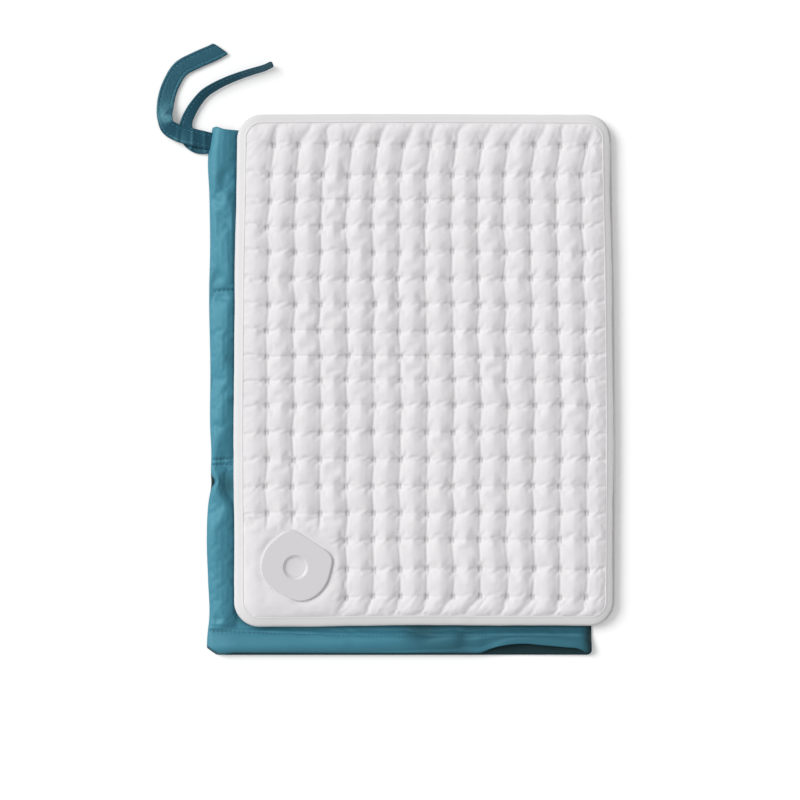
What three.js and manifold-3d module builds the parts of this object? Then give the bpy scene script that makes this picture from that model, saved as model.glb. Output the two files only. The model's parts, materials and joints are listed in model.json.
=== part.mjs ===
// A quilted heating pad with a moulded control hub in one corner, lying on its tie-on fabric cover.
// Millimetres, +Z up. The origin is on the table, under the middle of the pad.
import * as THREE from "three";
import { mergeVertices } from "three/addons/utils/BufferGeometryUtils.js";
import Module from "manifold-3d";

const wasm = await Module();
wasm.setup();

// Driving dimensions

// Clearance between pieces that rest on, or pass through, each other.
const fit = 0.3;

// The cover: two panels sewn together on three sides, open at the mouth along -Y.
const coverWidth = 306;
const coverLength = 423;
const coverCorner = 9;
const coverCloth = 0.6;
const coverShiftX = -19.4;
const coverShiftY = -17.2;
const coverPuff = 2.6;
const coverMargin = 22;
const mouthLift = 2.4;
const mouthSpan = 92;
const mouthFromRight = 52;

// The two ties, sewn into the cover's left seam.
const tieWidth = 14;
const tieThickness = 1;
const tieFromTop = 11;

// The pad: a quilted panel and a back panel, held together by a binding round the edge.
const padWidth = 305;
const padLength = 412;
const padCorner = 20;
const backCloth = 0.8;
const backSlope = 9;
const bindingWidth = 8;
const bindingCloth = 0.8;
const bindingRound = 0.9;
const flangeThickness = 1;

// The quilting: a square lattice of spot welds with a puff between each four.
const quiltPitch = 21.33;
const quiltMargin = 22;
const quiltShiftX = 1.7;
const weldThickness = 1.6;
const crownHeight = 4.6;
const landingThickness = 2.6;
const landingRim = 5;

// The layers inside the pad.
const layerMargin = 21;
const waddingThickness = 0.8;
const carrierThickness = 0.4;
const cableDiameter = 2;
const cableMargin = 26;
const cutoutWidth = 4.5;
const cutoutLength = 11;
const cutoutThickness = 2;
const sensorLeadDiameter = 1.2;
const sensorLeadLength = 22;
const sensorDiameter = 2;
const sensorLength = 6;

// The control hub: a disc with two opposite flats, screwed to a tray that lies inside the pad.
// Within the spread of the longer flat's angle, its sides run straight on to rounded corners.
const hubFromLeft = 50.6;
const hubFromBottom = 46.3;
const trayRadius = 22;
const trayWall = 1.4;
const trayFloor = 1;
const shellRim = 7;
const shellFlatRim = 4;
const shellFlatAngle = 57;
const shellSpread = 72;
const shellHeight = 2.6;
const shellPlate = 2;
const shellEdge = 1.5;
const gasketThickness = 0.5;
const gasketInset = 0.8;

// The push button in the middle of the hub, and the switch under it.
const wellDiameter = 19.5;
const wellFloorDiameter = 14.8;
const wellEdge = 0.3;
const wellCurve = 1.6;
const buttonRecess = 1.4;
const buttonRetainer = 1.5;
const buttonRetainerThickness = 1;
const buttonEdge = 0.3;
const buttonTravel = 0.6;
const stemDiameter = 3.2;
const switchSide = 6;
const switchHeight = 2;
const plungerDiameter = 3;
const plungerLength = 1.3;
const domeThickness = 1;
const domeSpread = 2;

// The circuit board, what is on it, and the power inlet under it.
const boardThickness = 1;
const boardLift = 1.2;
const postDiameter = 2.4;
const chipSide = 4;
const chipHeight = 1;
const transistorWidth = 4.6;
const transistorLength = 3.6;
const transistorHeight = 1.6;
const capacitorDiameter = 3.6;
const capacitorHeight = 2.6;
const terminalWidth = 3;
const terminalLength = 4.2;
const inletDiameter = 13;
const inletFlange = 1.8;
const inletFlangeThickness = 0.5;
const inletWell = 9;
const inletWellDepth = 2;
const pinDiameter = 1.5;
const pinSpacing = 4;

// The four screws that hold the hub together.
const screwDiameter = 2;
const screwHeadDiameter = 3.8;
const screwHeadHeight = 1.1;
const bossWall = 0.9;
const screwGrip = 2.2;

// Heights, from the table up.
const coverFrontBase = coverCloth + fit;
const coverTop = coverFrontBase + coverCloth;
const padBase = coverTop + fit;
const backTop = padBase + backCloth;
const waddingBase = backTop + fit;
const carrierBase = waddingBase + waddingThickness + fit;
const cableBase = carrierBase + carrierThickness + fit;
const cableAxis = cableBase + cableDiameter / 2;
const panelBase = cableBase + Math.max(cableDiameter, cutoutThickness, sensorDiameter) + fit;
const flangeTop = panelBase + flangeThickness;
const backFlangeTop = panelBase - fit;
const backFlangeBase = backFlangeTop - backCloth;
const slotTop = flangeTop + fit;
const slotBase = backFlangeBase - fit;
const bindingTop = slotTop + bindingCloth;
const bindingBase = slotBase - bindingCloth;
const weldTop = panelBase + weldThickness;
const crownTop = weldTop + crownHeight;
const landingTop = panelBase + landingThickness;
const gasketBase = landingTop + fit;
const shellBase = gasketBase + gasketThickness + fit;
const shellTop = shellBase + shellHeight;
const plateBase = shellTop - shellPlate;
const trayBase = backTop + fit;
const trayFloorTop = trayBase + trayFloor;
const trayTop = plateBase - fit;
const boardBase = trayFloorTop + boardLift;
const boardTop = boardBase + boardThickness;
const onBoard = boardTop + fit;
const switchTop = onBoard + switchHeight;
const plungerTop = switchTop + buttonTravel + fit / 3;
const plungerBase = plungerTop - plungerLength;
const stemBase = plungerTop + fit;
const buttonTop = shellTop - buttonRecess;
const retainerTop = plateBase - fit;
const retainerBase = retainerTop - buttonRetainerThickness;

// Places in the plane.
const hubX = -padWidth / 2 + hubFromLeft;
const hubY = -padLength / 2 + hubFromBottom;
const shellRadius = trayRadius + shellRim;
const shellFlat = trayRadius + shellFlatRim;
const wellFloorRadius = wellFloorDiameter / 2;
const bossRadius = screwDiameter / 2 + fit + bossWall;
const bossCircle = trayRadius - trayWall - bossRadius - fit;
const boardRadius = bossCircle - bossRadius - fit;
const hubHole = trayRadius + 2 * fit;
const quiltColumns = Math.floor((padWidth - 2 * quiltMargin) / quiltPitch) + 1;
const quiltRows = Math.floor((padLength - 2 * quiltMargin) / quiltPitch) + 1;
const columnX = (i) => quiltShiftX + (i - (quiltColumns - 1) / 2) * quiltPitch;
const rowY = (j) => (j - (quiltRows - 1) / 2) * quiltPitch;

const material = (color, roughness, metalness = 0) =>
  new THREE.MeshStandardMaterial({ color, roughness, metalness });
const finishes = {
  quilt: material(0xe9e9ea, 0.9),
  binding: material(0xeeeeee, 0.85),
  teal: material(0x3f8399, 0.55),
  tie: material(0x2f6b80, 0.6),
  wadding: material(0xf4f2ec, 1),
  carrier: material(0xdcd8ce, 0.95),
  cable: material(0xf0ead8, 0.5),
  hub: material(0xdadadb, 0.45),
  button: material(0xdedee0, 0.4),
  seal: material(0xb9bcc0, 0.8),
  board: material(0x2d6b4a, 0.5),
  component: material(0x1d1e20, 0.45),
  copper: material(0xb98b4a, 0.35, 1),
  steel: material(0xb4b6b9, 0.3, 1),
};

// Solids

// A closed solid through rings of equally many points, from the lowest cap to the highest one.
// Each ring runs counter-clockwise seen from the last cap. Caps are cut along the flat outline.
function loft(rings, outlineOf = (ring) => ring, capped = true) {
  const n = rings[0].length;
  const triangles = [];
  const bands = capped ? rings.length - 1 : rings.length;
  for (let k = 0; k < bands; k++) {
    const low = k * n;
    const high = ((k + 1) % rings.length) * n;
    for (let i = 0; i < n; i++) {
      const next = (i + 1) % n;
      triangles.push(low + i, low + next, high + next, low + i, high + next, high + i);
    }
  }
  if (capped) {
    const last = (rings.length - 1) * n;
    triangles.push(...capTriangles(outlineOf(rings[0]), false));
    triangles.push(...capTriangles(outlineOf(rings.at(-1)), true).map((i) => i + last));
  }
  return geometryFrom(rings.flat(), triangles);
}

// Triangles that fill a flat outline, facing up or down.
function capTriangles(outline, facesUp) {
  const flat = outline.map((p) => new THREE.Vector2(p.x, p.y));
  return THREE.ShapeUtils.triangulateShape(flat, []).flatMap(([a, b, c]) => {
    const turn = flat[b].clone().sub(flat[a]).cross(flat[c].clone().sub(flat[a]));
    return turn > 0 === facesUp ? [a, b, c] : [a, c, b];
  });
}

function geometryFrom(points, triangles) {
  const positions = points.flatMap((p) => [p.x, p.y, p.z]);
  return new THREE.BufferGeometry()
    .setAttribute("position", new THREE.Float32BufferAttribute(positions, 3))
    .setIndex(triangles);
}

function solidOf(geometry) {
  const bare = geometry.index ? geometry.toNonIndexed() : geometry.clone();
  bare.deleteAttribute("normal");
  bare.deleteAttribute("uv");
  const merged = mergeVertices(bare, 1e-4);
  return new wasm.Manifold(
    new wasm.Mesh({
      numProp: 3,
      vertProperties: merged.attributes.position.array,
      triVerts: new Uint32Array(merged.index.array),
    }),
  );
}

function geometryOf(solid) {
  const mesh = solid.getMesh();
  return new THREE.BufferGeometry()
    .setAttribute("position", new THREE.BufferAttribute(new Float32Array(mesh.vertProperties), 3))
    .setIndex(new THREE.BufferAttribute(new Uint32Array(mesh.triVerts), 1));
}

const cut = (geometry, ...tools) =>
  geometryOf(tools.reduce((left, tool) => left.subtract(solidOf(tool)), solidOf(geometry)));
const join = (geometry, ...more) =>
  geometryOf(more.reduce((whole, piece) => whole.add(solidOf(piece)), solidOf(geometry)));

// An upright cylinder between two heights.
function disc(radius, low, high, x = 0, y = 0, sides = 32) {
  return new THREE.CylinderGeometry(radius, radius, high - low, sides)
    .rotateX(Math.PI / 2)
    .translate(x, y, (low + high) / 2);
}

// An upright box between two heights.
function block(width, length, low, high, x = 0, y = 0) {
  return new THREE.BoxGeometry(width, length, high - low).translate(x, y, (low + high) / 2);
}

// A solid turned about the upright axis from [radius, height] pairs.
function turned(profile, sides = 40) {
  const points = profile.map(([r, z]) => new THREE.Vector2(r, z));
  return new THREE.LatheGeometry(points, sides).rotateX(Math.PI / 2);
}

// A level ring of points on the pad's outline, counter-clockwise, set in from its edge.
function padRing(inset, z, cornerSteps = 5) {
  const radius = Math.max(padCorner - inset, fit);
  const points = [];
  [[1, 1], [-1, 1], [-1, -1], [1, -1]].forEach(([sx, sy], quarter) => {
    const centreX = sx * (padWidth / 2 - inset - radius);
    const centreY = sy * (padLength / 2 - inset - radius);
    for (let k = 0; k <= cornerSteps; k++) {
      const angle = (Math.PI / 2) * (quarter + k / cornerSteps);
      const x = centreX + radius * Math.cos(angle);
      const y = centreY + radius * Math.sin(angle);
      points.push(new THREE.Vector3(x, y, z));
    }
  });
  return points;
}

// A flat layer of the pad, with the hole that the hub's tray goes through.
function padLayer(low, high) {
  const sheet = loft([padRing(layerMargin, low), padRing(layerMargin, high)]);
  return cut(sheet, disc(hubHole, low - fit, high + fit, hubX, hubY));
}

// A section carried along points, upright or rolled by an angle at each point. It may be stretched there too.
function carried(points, section, rolls = points.map(() => 0), stretches = points.map(() => [1, 1])) {
  const rings = points.map((point, k) => {
    const before = points[Math.max(k - 1, 0)];
    const after = points[Math.min(k + 1, points.length - 1)];
    const along = after.clone().sub(before).normalize();
    const level = new THREE.Vector3(0, 0, 1).cross(along).normalize();
    const side = level.applyAxisAngle(along, rolls[k]);
    const up = along.clone().cross(side);
    const [across, through] = stretches[k];
    return section.map((s) =>
      point.clone().addScaledVector(side, s.x * across).addScaledVector(up, s.y * through),
    );
  });
  return loft(rings, () => section);
}

const roundSection = (diameter, sides) =>
  Array.from({ length: sides }, (_, k) => {
    const angle = (2 * Math.PI * k) / sides;
    return new THREE.Vector2((diameter / 2) * Math.cos(angle), (diameter / 2) * Math.sin(angle));
  });

// Straight runs between corners, with each corner rounded to a radius that its runs allow.
function roundedRoute(corners, bend, steps = 5) {
  const points = [corners[0]];
  for (let k = 1; k < corners.length - 1; k++) {
    const [a, b, c] = [corners[k - 1], corners[k], corners[k + 1]];
    const inward = a.clone().sub(b);
    const outward = c.clone().sub(b);
    const radius = Math.min(bend, inward.length() / 2, outward.length() / 2);
    inward.setLength(radius);
    outward.setLength(radius);
    const centre = b.clone().add(inward).add(outward);
    for (let s = 0; s <= steps; s++) {
      const angle = (Math.PI / 2) * (s / steps);
      const point = centre.clone();
      point.addScaledVector(outward, -Math.cos(angle)).addScaledVector(inward, -Math.sin(angle));
      if (point.distanceTo(points.at(-1)) > fit) points.push(point);
    }
  }
  points.push(corners.at(-1));
  return points;
}

const smooth = (t) => {
  const s = Math.min(Math.max(t, 0), 1);
  return s * s * (3 - 2 * s);
};

const root = new THREE.Group();
const cover = new THREE.Group();
const pad = new THREE.Group();
const hub = new THREE.Group();
cover.position.set(coverShiftX, coverShiftY, 0);
hub.position.set(hubX, hubY, 0);
pad.add(hub);
root.add(cover, pad);

function place(group, name, geometry, finish) {
  const mesh = new THREE.Mesh(geometry, finish);
  mesh.name = name;
  group.add(mesh);
}

// The cover

// A sheet of even thickness over crossing lines, with its corners rounded.
function clothSheet(xs, ys, corner, thickness, heightAt) {
  const eased = (x, y) => {
    const centreX = Math.sign(x) * (xs.at(-1) - corner);
    const centreY = Math.sign(y) * (ys.at(-1) - corner);
    const u = (x - centreX) / corner;
    const v = (y - centreY) / corner;
    const inCorner = u * Math.sign(x) > 0 && v * Math.sign(y) > 0;
    if (!inCorner) return [x, y];
    const roundedX = centreX + corner * u * Math.sqrt(1 - v ** 2 / 2);
    const roundedY = centreY + corner * v * Math.sqrt(1 - u ** 2 / 2);
    return [roundedX, roundedY];
  };
  const upper = ys.flatMap((y) => xs.map((x) => new THREE.Vector3(...eased(x, y), heightAt(x, y))));
  const lower = upper.map((p) => new THREE.Vector3(p.x, p.y, p.z - thickness));
  const columns = xs.length;
  const under = upper.length;
  const triangles = [];
  for (let j = 0; j + 1 < ys.length; j++) {
    for (let i = 0; i + 1 < columns; i++) {
      const a = j * columns + i;
      const [b, c, d] = [a + 1, a + columns + 1, a + columns];
      triangles.push(a, b, c, a, c, d);
      triangles.push(under + a, under + c, under + b, under + a, under + d, under + c);
    }
  }
  const lastRow = (ys.length - 1) * columns;
  const loop = [...xs.keys()].slice(0, -1);
  loop.push(...[...ys.keys()].slice(0, -1).map((j) => j * columns + columns - 1));
  loop.push(...[...xs.keys()].slice(1).reverse().map((i) => lastRow + i));
  loop.push(...[...ys.keys()].slice(1).reverse().map((j) => j * columns));
  loop.forEach((a, k) => {
    const b = loop[(k + 1) % loop.length];
    triangles.push(under + a, under + b, b, under + a, b, a);
  });
  return geometryFrom([...upper, ...lower], triangles);
}

// The front panel lies flat under the pad, swells where its margin is free, and parts at the mouth.
function coverFrontTop(x, y) {
  const fromLeft = x + coverWidth / 2;
  const fromMouth = y + coverLength / 2;
  const swell = (inset) => Math.sin((Math.PI * Math.min(inset, coverMargin)) / coverMargin);
  const clearOf = (padEdge, at) => smooth((padEdge + backSlope - at) / backSlope);
  const freeLeft = clearOf(-padWidth / 2, x + coverShiftX);
  const freeMouth = clearOf(-padLength / 2, y + coverShiftY);
  const mouthX = coverWidth / 2 - mouthFromRight;
  const across = smooth(1 - Math.abs(x - mouthX) / (mouthSpan / 2));
  const puff = Math.max(freeLeft * swell(fromLeft), freeMouth * swell(fromMouth));
  const lift = freeMouth * across * smooth(1 - fromMouth / coverMargin);
  return coverTop + coverPuff * puff + mouthLift * lift;
}

// Lines across the front panel: close together over its free margin, then evenly spread to the far edge.
function frontLines(size, spread) {
  const margin = [0, 0.12, 0.3, 0.5, 0.75, 1].map((share) => share * coverMargin);
  const flat = size - coverMargin - coverCorner;
  const count = Math.round(flat / spread);
  const rest = Array.from({ length: count }, (_, k) => coverMargin + (flat * (k + 1)) / count);
  return [...margin, ...rest, size].map((at) => at - size / 2);
}

// Lines across the back panel: only what its corners need.
function backLines(size) {
  const near = [0, 0.5, 1].map((share) => share * coverCorner);
  return [...near, ...near.map((at) => size - at).reverse()].map((at) => at - size / 2);
}

function coverFront() {
  const [xs, ys] = [frontLines(coverWidth, mouthSpan / 4), frontLines(coverLength, mouthSpan / 2)];
  return clothSheet(xs, ys, coverCorner, coverCloth, coverFrontTop);
}

function coverBack() {
  const [xs, ys] = [backLines(coverWidth), backLines(coverLength)];
  return clothSheet(xs, ys, coverCorner, coverCloth, () => coverCloth);
}

place(cover, "cover_front", coverFront(), finishes.teal);
place(cover, "cover_back", coverBack(), finishes.teal);

// A tie's route: how far it goes left of and above its seam, how high, how far it has rolled in degrees,
// and how far it is folded along its middle, from 0 for flat to 1 for double.
const upperTieRoute = [
  [0, 4, 2.1, 0, 0],
  [15, 7.7, 2.7, 0, 0],
  [27, 11.7, 3.2, 0, 0],
  [34, 19, 2.7, 4, 0],
  [35.4, 28.5, 1.7, 6, 0],
  [34, 39.7, 1.1, 3, 0],
  [30, 49.8, 0.8, 0, 0],
  [23.2, 60.6, 0.8, 0, 0],
  [11.2, 67.8, 0.8, 0, 0],
  [-3, 74.2, 0.8, 0, 0],
  [-8.6, 77.4, 0.8, 0, 0],
];
const lowerTieRoute = [
  [0, -2, 0.6, 0, 0],
  [10.8, -1.2, 0.6, 0, 0],
  [17.2, 6, 0.7, 0, 0],
  [18.4, 15.7, 0.9, 0, 0.2],
  [16.4, 25.3, 2.0, 12, 0.6],
  [12, 33.6, 2.7, 24, 0.9],
  [4.4, 41.5, 3.0, 32, 1],
  [-5.3, 47.2, 3.3, 38, 1],
  [-18.9, 53.3, 3.5, 42, 1],
  [-31.7, 57.2, 3.7, 45, 1],
  [-44.6, 61.2, 3.8, 48, 1],
  [-51.4, 64.2, 3.9, 50, 1],
];

function tie(route, steps = 30) {
  const seamX = -coverWidth / 2 - fit;
  const seamY = coverLength / 2 - tieFromTop;
  const at = route.map(([left, above, z]) => new THREE.Vector3(seamX - left, seamY + above, z));
  const bearing = route.map(([, , , roll, fold]) => new THREE.Vector3(roll, fold, 0));
  const curve = new THREE.CatmullRomCurve3(at);
  const turning = new THREE.CatmullRomCurve3(bearing);
  const shares = Array.from({ length: steps + 1 }, (_, k) => k / steps);
  const section = [[-1, -1], [1, -1], [1, 1], [-1, 1]].map(
    ([u, v]) => new THREE.Vector2((u * tieWidth) / 2, (v * tieThickness) / 2),
  );
  const turns = shares.map((t) => turning.getPoint(t));
  return carried(
    shares.map((t) => curve.getPoint(t)),
    section,
    turns.map((turn) => THREE.MathUtils.degToRad(turn.x)),
    turns.map(({ y: fold }) => [1 - fold / 2, 1 + fold]),
  );
}

place(cover, "tie_upper", tie(upperTieRoute), finishes.tie);
place(cover, "tie_lower", tie(lowerTieRoute), finishes.tie);

// The pad's outer layers

const flangeInset = bindingCloth + fit;
const quiltInset = bindingWidth + fit;

// The quilted panel: a lattice of welds, a ridge over each row line and a crown in each cell.
function quiltedPanel() {
  const edgeX = padWidth / 2 - quiltInset;
  const edgeY = padLength / 2 - quiltInset;
  const xs = [-edgeX, ...Array.from({ length: quiltColumns }, (_, i) => columnX(i)), edgeX];
  const ys = [-edgeY, ...Array.from({ length: quiltRows }, (_, j) => rowY(j)), edgeY];
  const ridgeShare = 0.62;
  const landing = shellRadius + landingRim;
  const flat = (x, y) => x < hubX + landing && y < hubY + landing;
  const height = (x, y, share) => (flat(x, y) ? landingTop : weldTop + share * crownHeight);

  const points = [];
  const boundary = new Map();
  // A point of the lattice. One on the edge is moved onto the panel's rounded outline.
  function add(x, y, share) {
    const onEdge = Math.abs(x) >= edgeX || Math.abs(y) >= edgeY;
    const point = new THREE.Vector3(x, y, onEdge ? bindingTop : height(x, y, share));
    if (onEdge) {
      const normal = edgeNormal(x, y);
      boundary.set(points.length, normal);
      point.copy(edgePoint(x, y, normal, quiltInset, bindingTop));
    }
    return points.push(point) - 1;
  }

  const welds = ys.map((y) => xs.map((x) => add(x, y, 0)));
  const middle = (list, i) => (list[i] + list[i + 1]) / 2;
  const ridges = ys.map((y) => xs.slice(1).map((_, i) => add(middle(xs, i), y, ridgeShare)));
  const triangles = [];
  for (let j = 0; j + 1 < ys.length; j++) {
    for (let i = 0; i + 1 < xs.length; i++) {
      const crown = add(middle(xs, i), middle(ys, j), 1);
      const rim = [welds[j][i], ridges[j][i], welds[j][i + 1]];
      rim.push(welds[j + 1][i + 1], ridges[j + 1][i], welds[j + 1][i]);
      rim.forEach((corner, k) => triangles.push(corner, rim[(k + 1) % rim.length], crown));
    }
  }

  // The edge of the lattice, counter-clockwise, carried down into a flange for the binding.
  const last = xs.length - 1;
  const top = ys.length - 1;
  const alongRow = (j) => xs.flatMap((_, i) => (i < last ? [welds[j][i], ridges[j][i]] : [welds[j][i]]));
  const right = ys.map((_, j) => welds[j][last]).slice(1, -1);
  const left = ys.map((_, j) => welds[j][0]).slice(1, -1);
  const loop = [...alongRow(0), ...right, ...alongRow(top).reverse(), ...left.reverse()];
  const ringAt = (inset, z) =>
    loop.map((index) => {
      const { x, y } = points[index];
      return points.push(edgePoint(x, y, boundary.get(index), inset, z)) - 1;
    });
  const rings = [ringAt(flangeInset, panelBase), ringAt(flangeInset, flangeTop)];
  rings.push(ringAt(quiltInset, flangeTop), loop);
  for (let k = 0; k + 1 < rings.length; k++) {
    loop.forEach((_, i) => {
      const next = (i + 1) % loop.length;
      const [a, b, c, d] = [rings[k][i], rings[k][next], rings[k + 1][next], rings[k + 1][i]];
      triangles.push(a, b, c, a, c, d);
    });
  }
  const outline = rings[0].map((index) => points[index]);
  triangles.push(...capTriangles(outline, false).map((i) => rings[0][i]));

  // The hub's rim presses flat what still rises under it.
  const sheet = geometryFrom(points, triangles);
  const pressed = disc(shellRadius + fit, landingTop + fit / 2, crownTop + fit, hubX, hubY);
  return cut(sheet, disc(hubHole, panelBase - fit, crownTop + fit, hubX, hubY), pressed);
}

// The way out of the panel at a point of its edge: square to a side, or from the centre of a corner.
function edgeNormal(x, y) {
  const overX = Math.max(Math.abs(x) - (padWidth / 2 - padCorner), 0) * Math.sign(x);
  const overY = Math.max(Math.abs(y) - (padLength / 2 - padCorner), 0) * Math.sign(y);
  return new THREE.Vector2(overX, overY).normalize();
}

// The point on the pad's outline, set in from its edge, that lies that way from a point of the lattice.
function edgePoint(x, y, normal, inset, z) {
  const innerX = padWidth / 2 - padCorner;
  const innerY = padLength / 2 - padCorner;
  const reach = Math.max(padCorner - inset, 0);
  const baseX = Math.min(Math.max(x, -innerX), innerX);
  const baseY = Math.min(Math.max(y, -innerY), innerY);
  return new THREE.Vector3(baseX + normal.x * reach, baseY + normal.y * reach, z);
}

// The back panel: a shallow tray of cloth whose rim lies in the binding.
function backPanel() {
  const slopeEnd = quiltInset + backSlope;
  const shell = loft([
    padRing(slopeEnd, padBase),
    padRing(quiltInset, backFlangeBase),
    padRing(flangeInset, backFlangeBase),
    padRing(flangeInset, backFlangeTop),
    padRing(quiltInset, backFlangeTop),
    padRing(slopeEnd, backTop),
  ]);
  const inletHole = inletDiameter / 2 + 2 * fit;
  return cut(shell, disc(inletHole, padBase - fit, backTop + fit, hubX, hubY));
}

// The binding: a folded tape, open inwards, that takes both panels' flanges.
function edgeBinding() {
  const r = bindingRound;
  const inner = bindingCloth;
  const section = [
    [r, bindingBase],
    [r * 0.3, bindingBase + r * 0.3],
    [0, bindingBase + r],
    [0, bindingTop - r],
    [r * 0.3, bindingTop - r * 0.3],
    [r, bindingTop],
    [bindingWidth, bindingTop],
    [bindingWidth, slotTop],
    [inner, slotTop],
    [inner, slotBase],
    [bindingWidth, slotBase],
    [bindingWidth, bindingBase],
  ];
  return loft(section.map(([inset, z]) => padRing(inset, z)), undefined, false);
}

place(pad, "pad_top_panel", quiltedPanel(), finishes.quilt);
place(pad, "pad_back_panel", backPanel(), finishes.quilt);
place(pad, "edge_binding", edgeBinding(), finishes.binding);

// The pad's inner layers

place(pad, "lower_wadding", padLayer(waddingBase, waddingBase + waddingThickness), finishes.wadding);
place(pad, "cable_carrier", padLayer(carrierBase, carrierBase + carrierThickness), finishes.carrier);

const cableEnd = boardRadius + fit;
const cableBend = quiltPitch / 2;
const runX = (k) => columnX(k + 0.5);

// The heating cable: out of the hub, up and down between the welds, and back along the lower edge.
function heatingCable() {
  const at = (x, y) => new THREE.Vector3(x, y, cableAxis);
  const topY = padLength / 2 - cableMargin;
  const returnY = -padLength / 2 + cableMargin;
  const bottomY = returnY + quiltPitch / 2;
  const jogY = hubY + trayRadius + quiltPitch;
  const aboveHubY = jogY + quiltPitch / 2;
  const returnX = hubX + trayRadius + cableBend;
  const runs = 2 * Math.floor((quiltColumns - 1) / 2);
  const corners = [at(hubX, hubY + cableEnd), at(hubX, jogY), at(runX(0), jogY)];
  for (let k = 0; k < runs; k += 2) {
    corners.push(at(runX(k), topY), at(runX(k + 1), topY));
    const isLast = k + 2 >= runs;
    const turnY = runX(k + 1) < returnX + cableBend ? aboveHubY : bottomY;
    if (!isLast) corners.push(at(runX(k + 1), turnY), at(runX(k + 2), turnY));
  }
  corners.push(at(runX(runs - 1), returnY), at(returnX, returnY));
  corners.push(at(returnX, hubY), at(hubX + cableEnd, hubY));
  return carried(roundedRoute(corners, cableBend), roundSection(cableDiameter, 6));
}

place(pad, "heating_cable", heatingCable(), finishes.cable);

// A thermal cut-out clipped beside a run of the cable.
function thermalCutout(run, y) {
  const x = runX(run) + cableDiameter / 2 + fit + cutoutWidth / 2;
  return block(cutoutWidth, cutoutLength, cableBase, cableBase + cutoutThickness, x, y);
}

place(pad, "thermal_cutout_upper", thermalCutout(4, padLength / 4), finishes.component);
place(pad, "thermal_cutout_lower", thermalCutout(8, -padLength / 6), finishes.component);

// The temperature sensor at the end of its lead, between the hub and the first runs.
const sensorAngle = THREE.MathUtils.degToRad(67);
const onSensorLine = (r, z) =>
  new THREE.Vector3(hubX + r * Math.cos(sensorAngle), hubY + r * Math.sin(sensorAngle), z);
const sensorLeadAxis = cableBase + sensorLeadDiameter / 2;
const sensorStart = cableEnd + sensorLeadLength + fit;
const sensorAxis = cableBase + sensorDiameter / 2;

place(
  pad,
  "sensor_lead",
  carried(
    [cableEnd, cableEnd + sensorLeadLength].map((r) => onSensorLine(r, sensorLeadAxis)),
    roundSection(sensorLeadDiameter, 8),
  ),
  finishes.cable,
);
place(
  pad,
  "temperature_sensor",
  carried(
    [sensorStart, sensorStart + sensorLength].map((r) => onSensorLine(r, sensorAxis)),
    roundSection(sensorDiameter, 10),
  ),
  finishes.component,
);

// The hub's mouldings

// The hub's outline, set in from its edge: the nearer of its sides and its flats, eased where they meet.
function hubOutline(set, z, sides = 60) {
  const ease = 10;
  const flatAngle = THREE.MathUtils.degToRad(shellFlatAngle);
  const spread = THREE.MathUtils.degToRad(shellSpread);
  return Array.from({ length: sides }, (_, k) => {
    const angle = (2 * Math.PI * k) / sides;
    const turn = Math.acos(Math.cos(angle - flatAngle));
    const toSide = Math.cos(Math.max(spread - turn, 0)) / (shellRadius - set);
    const toFlat = Math.abs(Math.cos(turn)) / (shellFlat - set);
    const r = (toSide ** ease + toFlat ** ease) ** (-1 / ease);
    return new THREE.Vector3(r * Math.cos(angle), r * Math.sin(angle), z);
  });
}

const bossAngles = [45, 135, 225, 315].map(THREE.MathUtils.degToRad);
const bossAt = (angle) => [bossCircle * Math.cos(angle), bossCircle * Math.sin(angle)];
const screwBase = trayBase + fit / 2;
const screwHeadTop = screwBase + screwHeadHeight;
const bossSplit = screwHeadTop + fit + 2 * bossWall;
const screwTop = bossSplit + fit + screwGrip;

// The shell: a low dome-edged plate with the button's well, and bosses that the screws bite into.
// The well is a bowl, level where it meets the button and steepest at its rim.
function hubShell() {
  const e = shellEdge;
  const plate = loft([
    hubOutline(0.3 * e, shellBase),
    hubOutline(0, shellBase + 0.3 * e),
    hubOutline(0, shellTop - e),
    hubOutline(0.13 * e, shellTop - 0.5 * e),
    hubOutline(0.5 * e, shellTop - 0.13 * e),
    hubOutline(e, shellTop),
  ]);
  const wellRadius = wellDiameter / 2;
  const bowlWidth = wellRadius - wellFloorRadius;
  const bowlDepth = buttonRecess - wellEdge;
  const bowl = Array.from({ length: 6 }, (_, k) => {
    const share = k / 5;
    return [wellFloorRadius + bowlWidth * share, buttonTop + bowlDepth * share ** wellCurve];
  });
  const well = turned([
    [0, plateBase - fit],
    [wellFloorRadius, plateBase - fit],
    ...bowl,
    [wellRadius + wellEdge, shellTop],
    [wellRadius + wellEdge, shellTop + fit],
    [0, shellTop + fit],
  ]);
  const pocket = disc(trayRadius + fit, shellBase - fit, plateBase, 0, 0, 40);
  const bosses = bossAngles.map((angle) =>
    disc(bossRadius, bossSplit + fit, plateBase + shellPlate / 2, ...bossAt(angle), 16),
  );
  const holes = bossAngles.map((angle) =>
    disc(screwDiameter / 2 + fit, bossSplit, screwTop + fit, ...bossAt(angle), 12),
  );
  return cut(join(cut(plate, well, pocket), ...bosses), ...holes);
}

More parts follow.
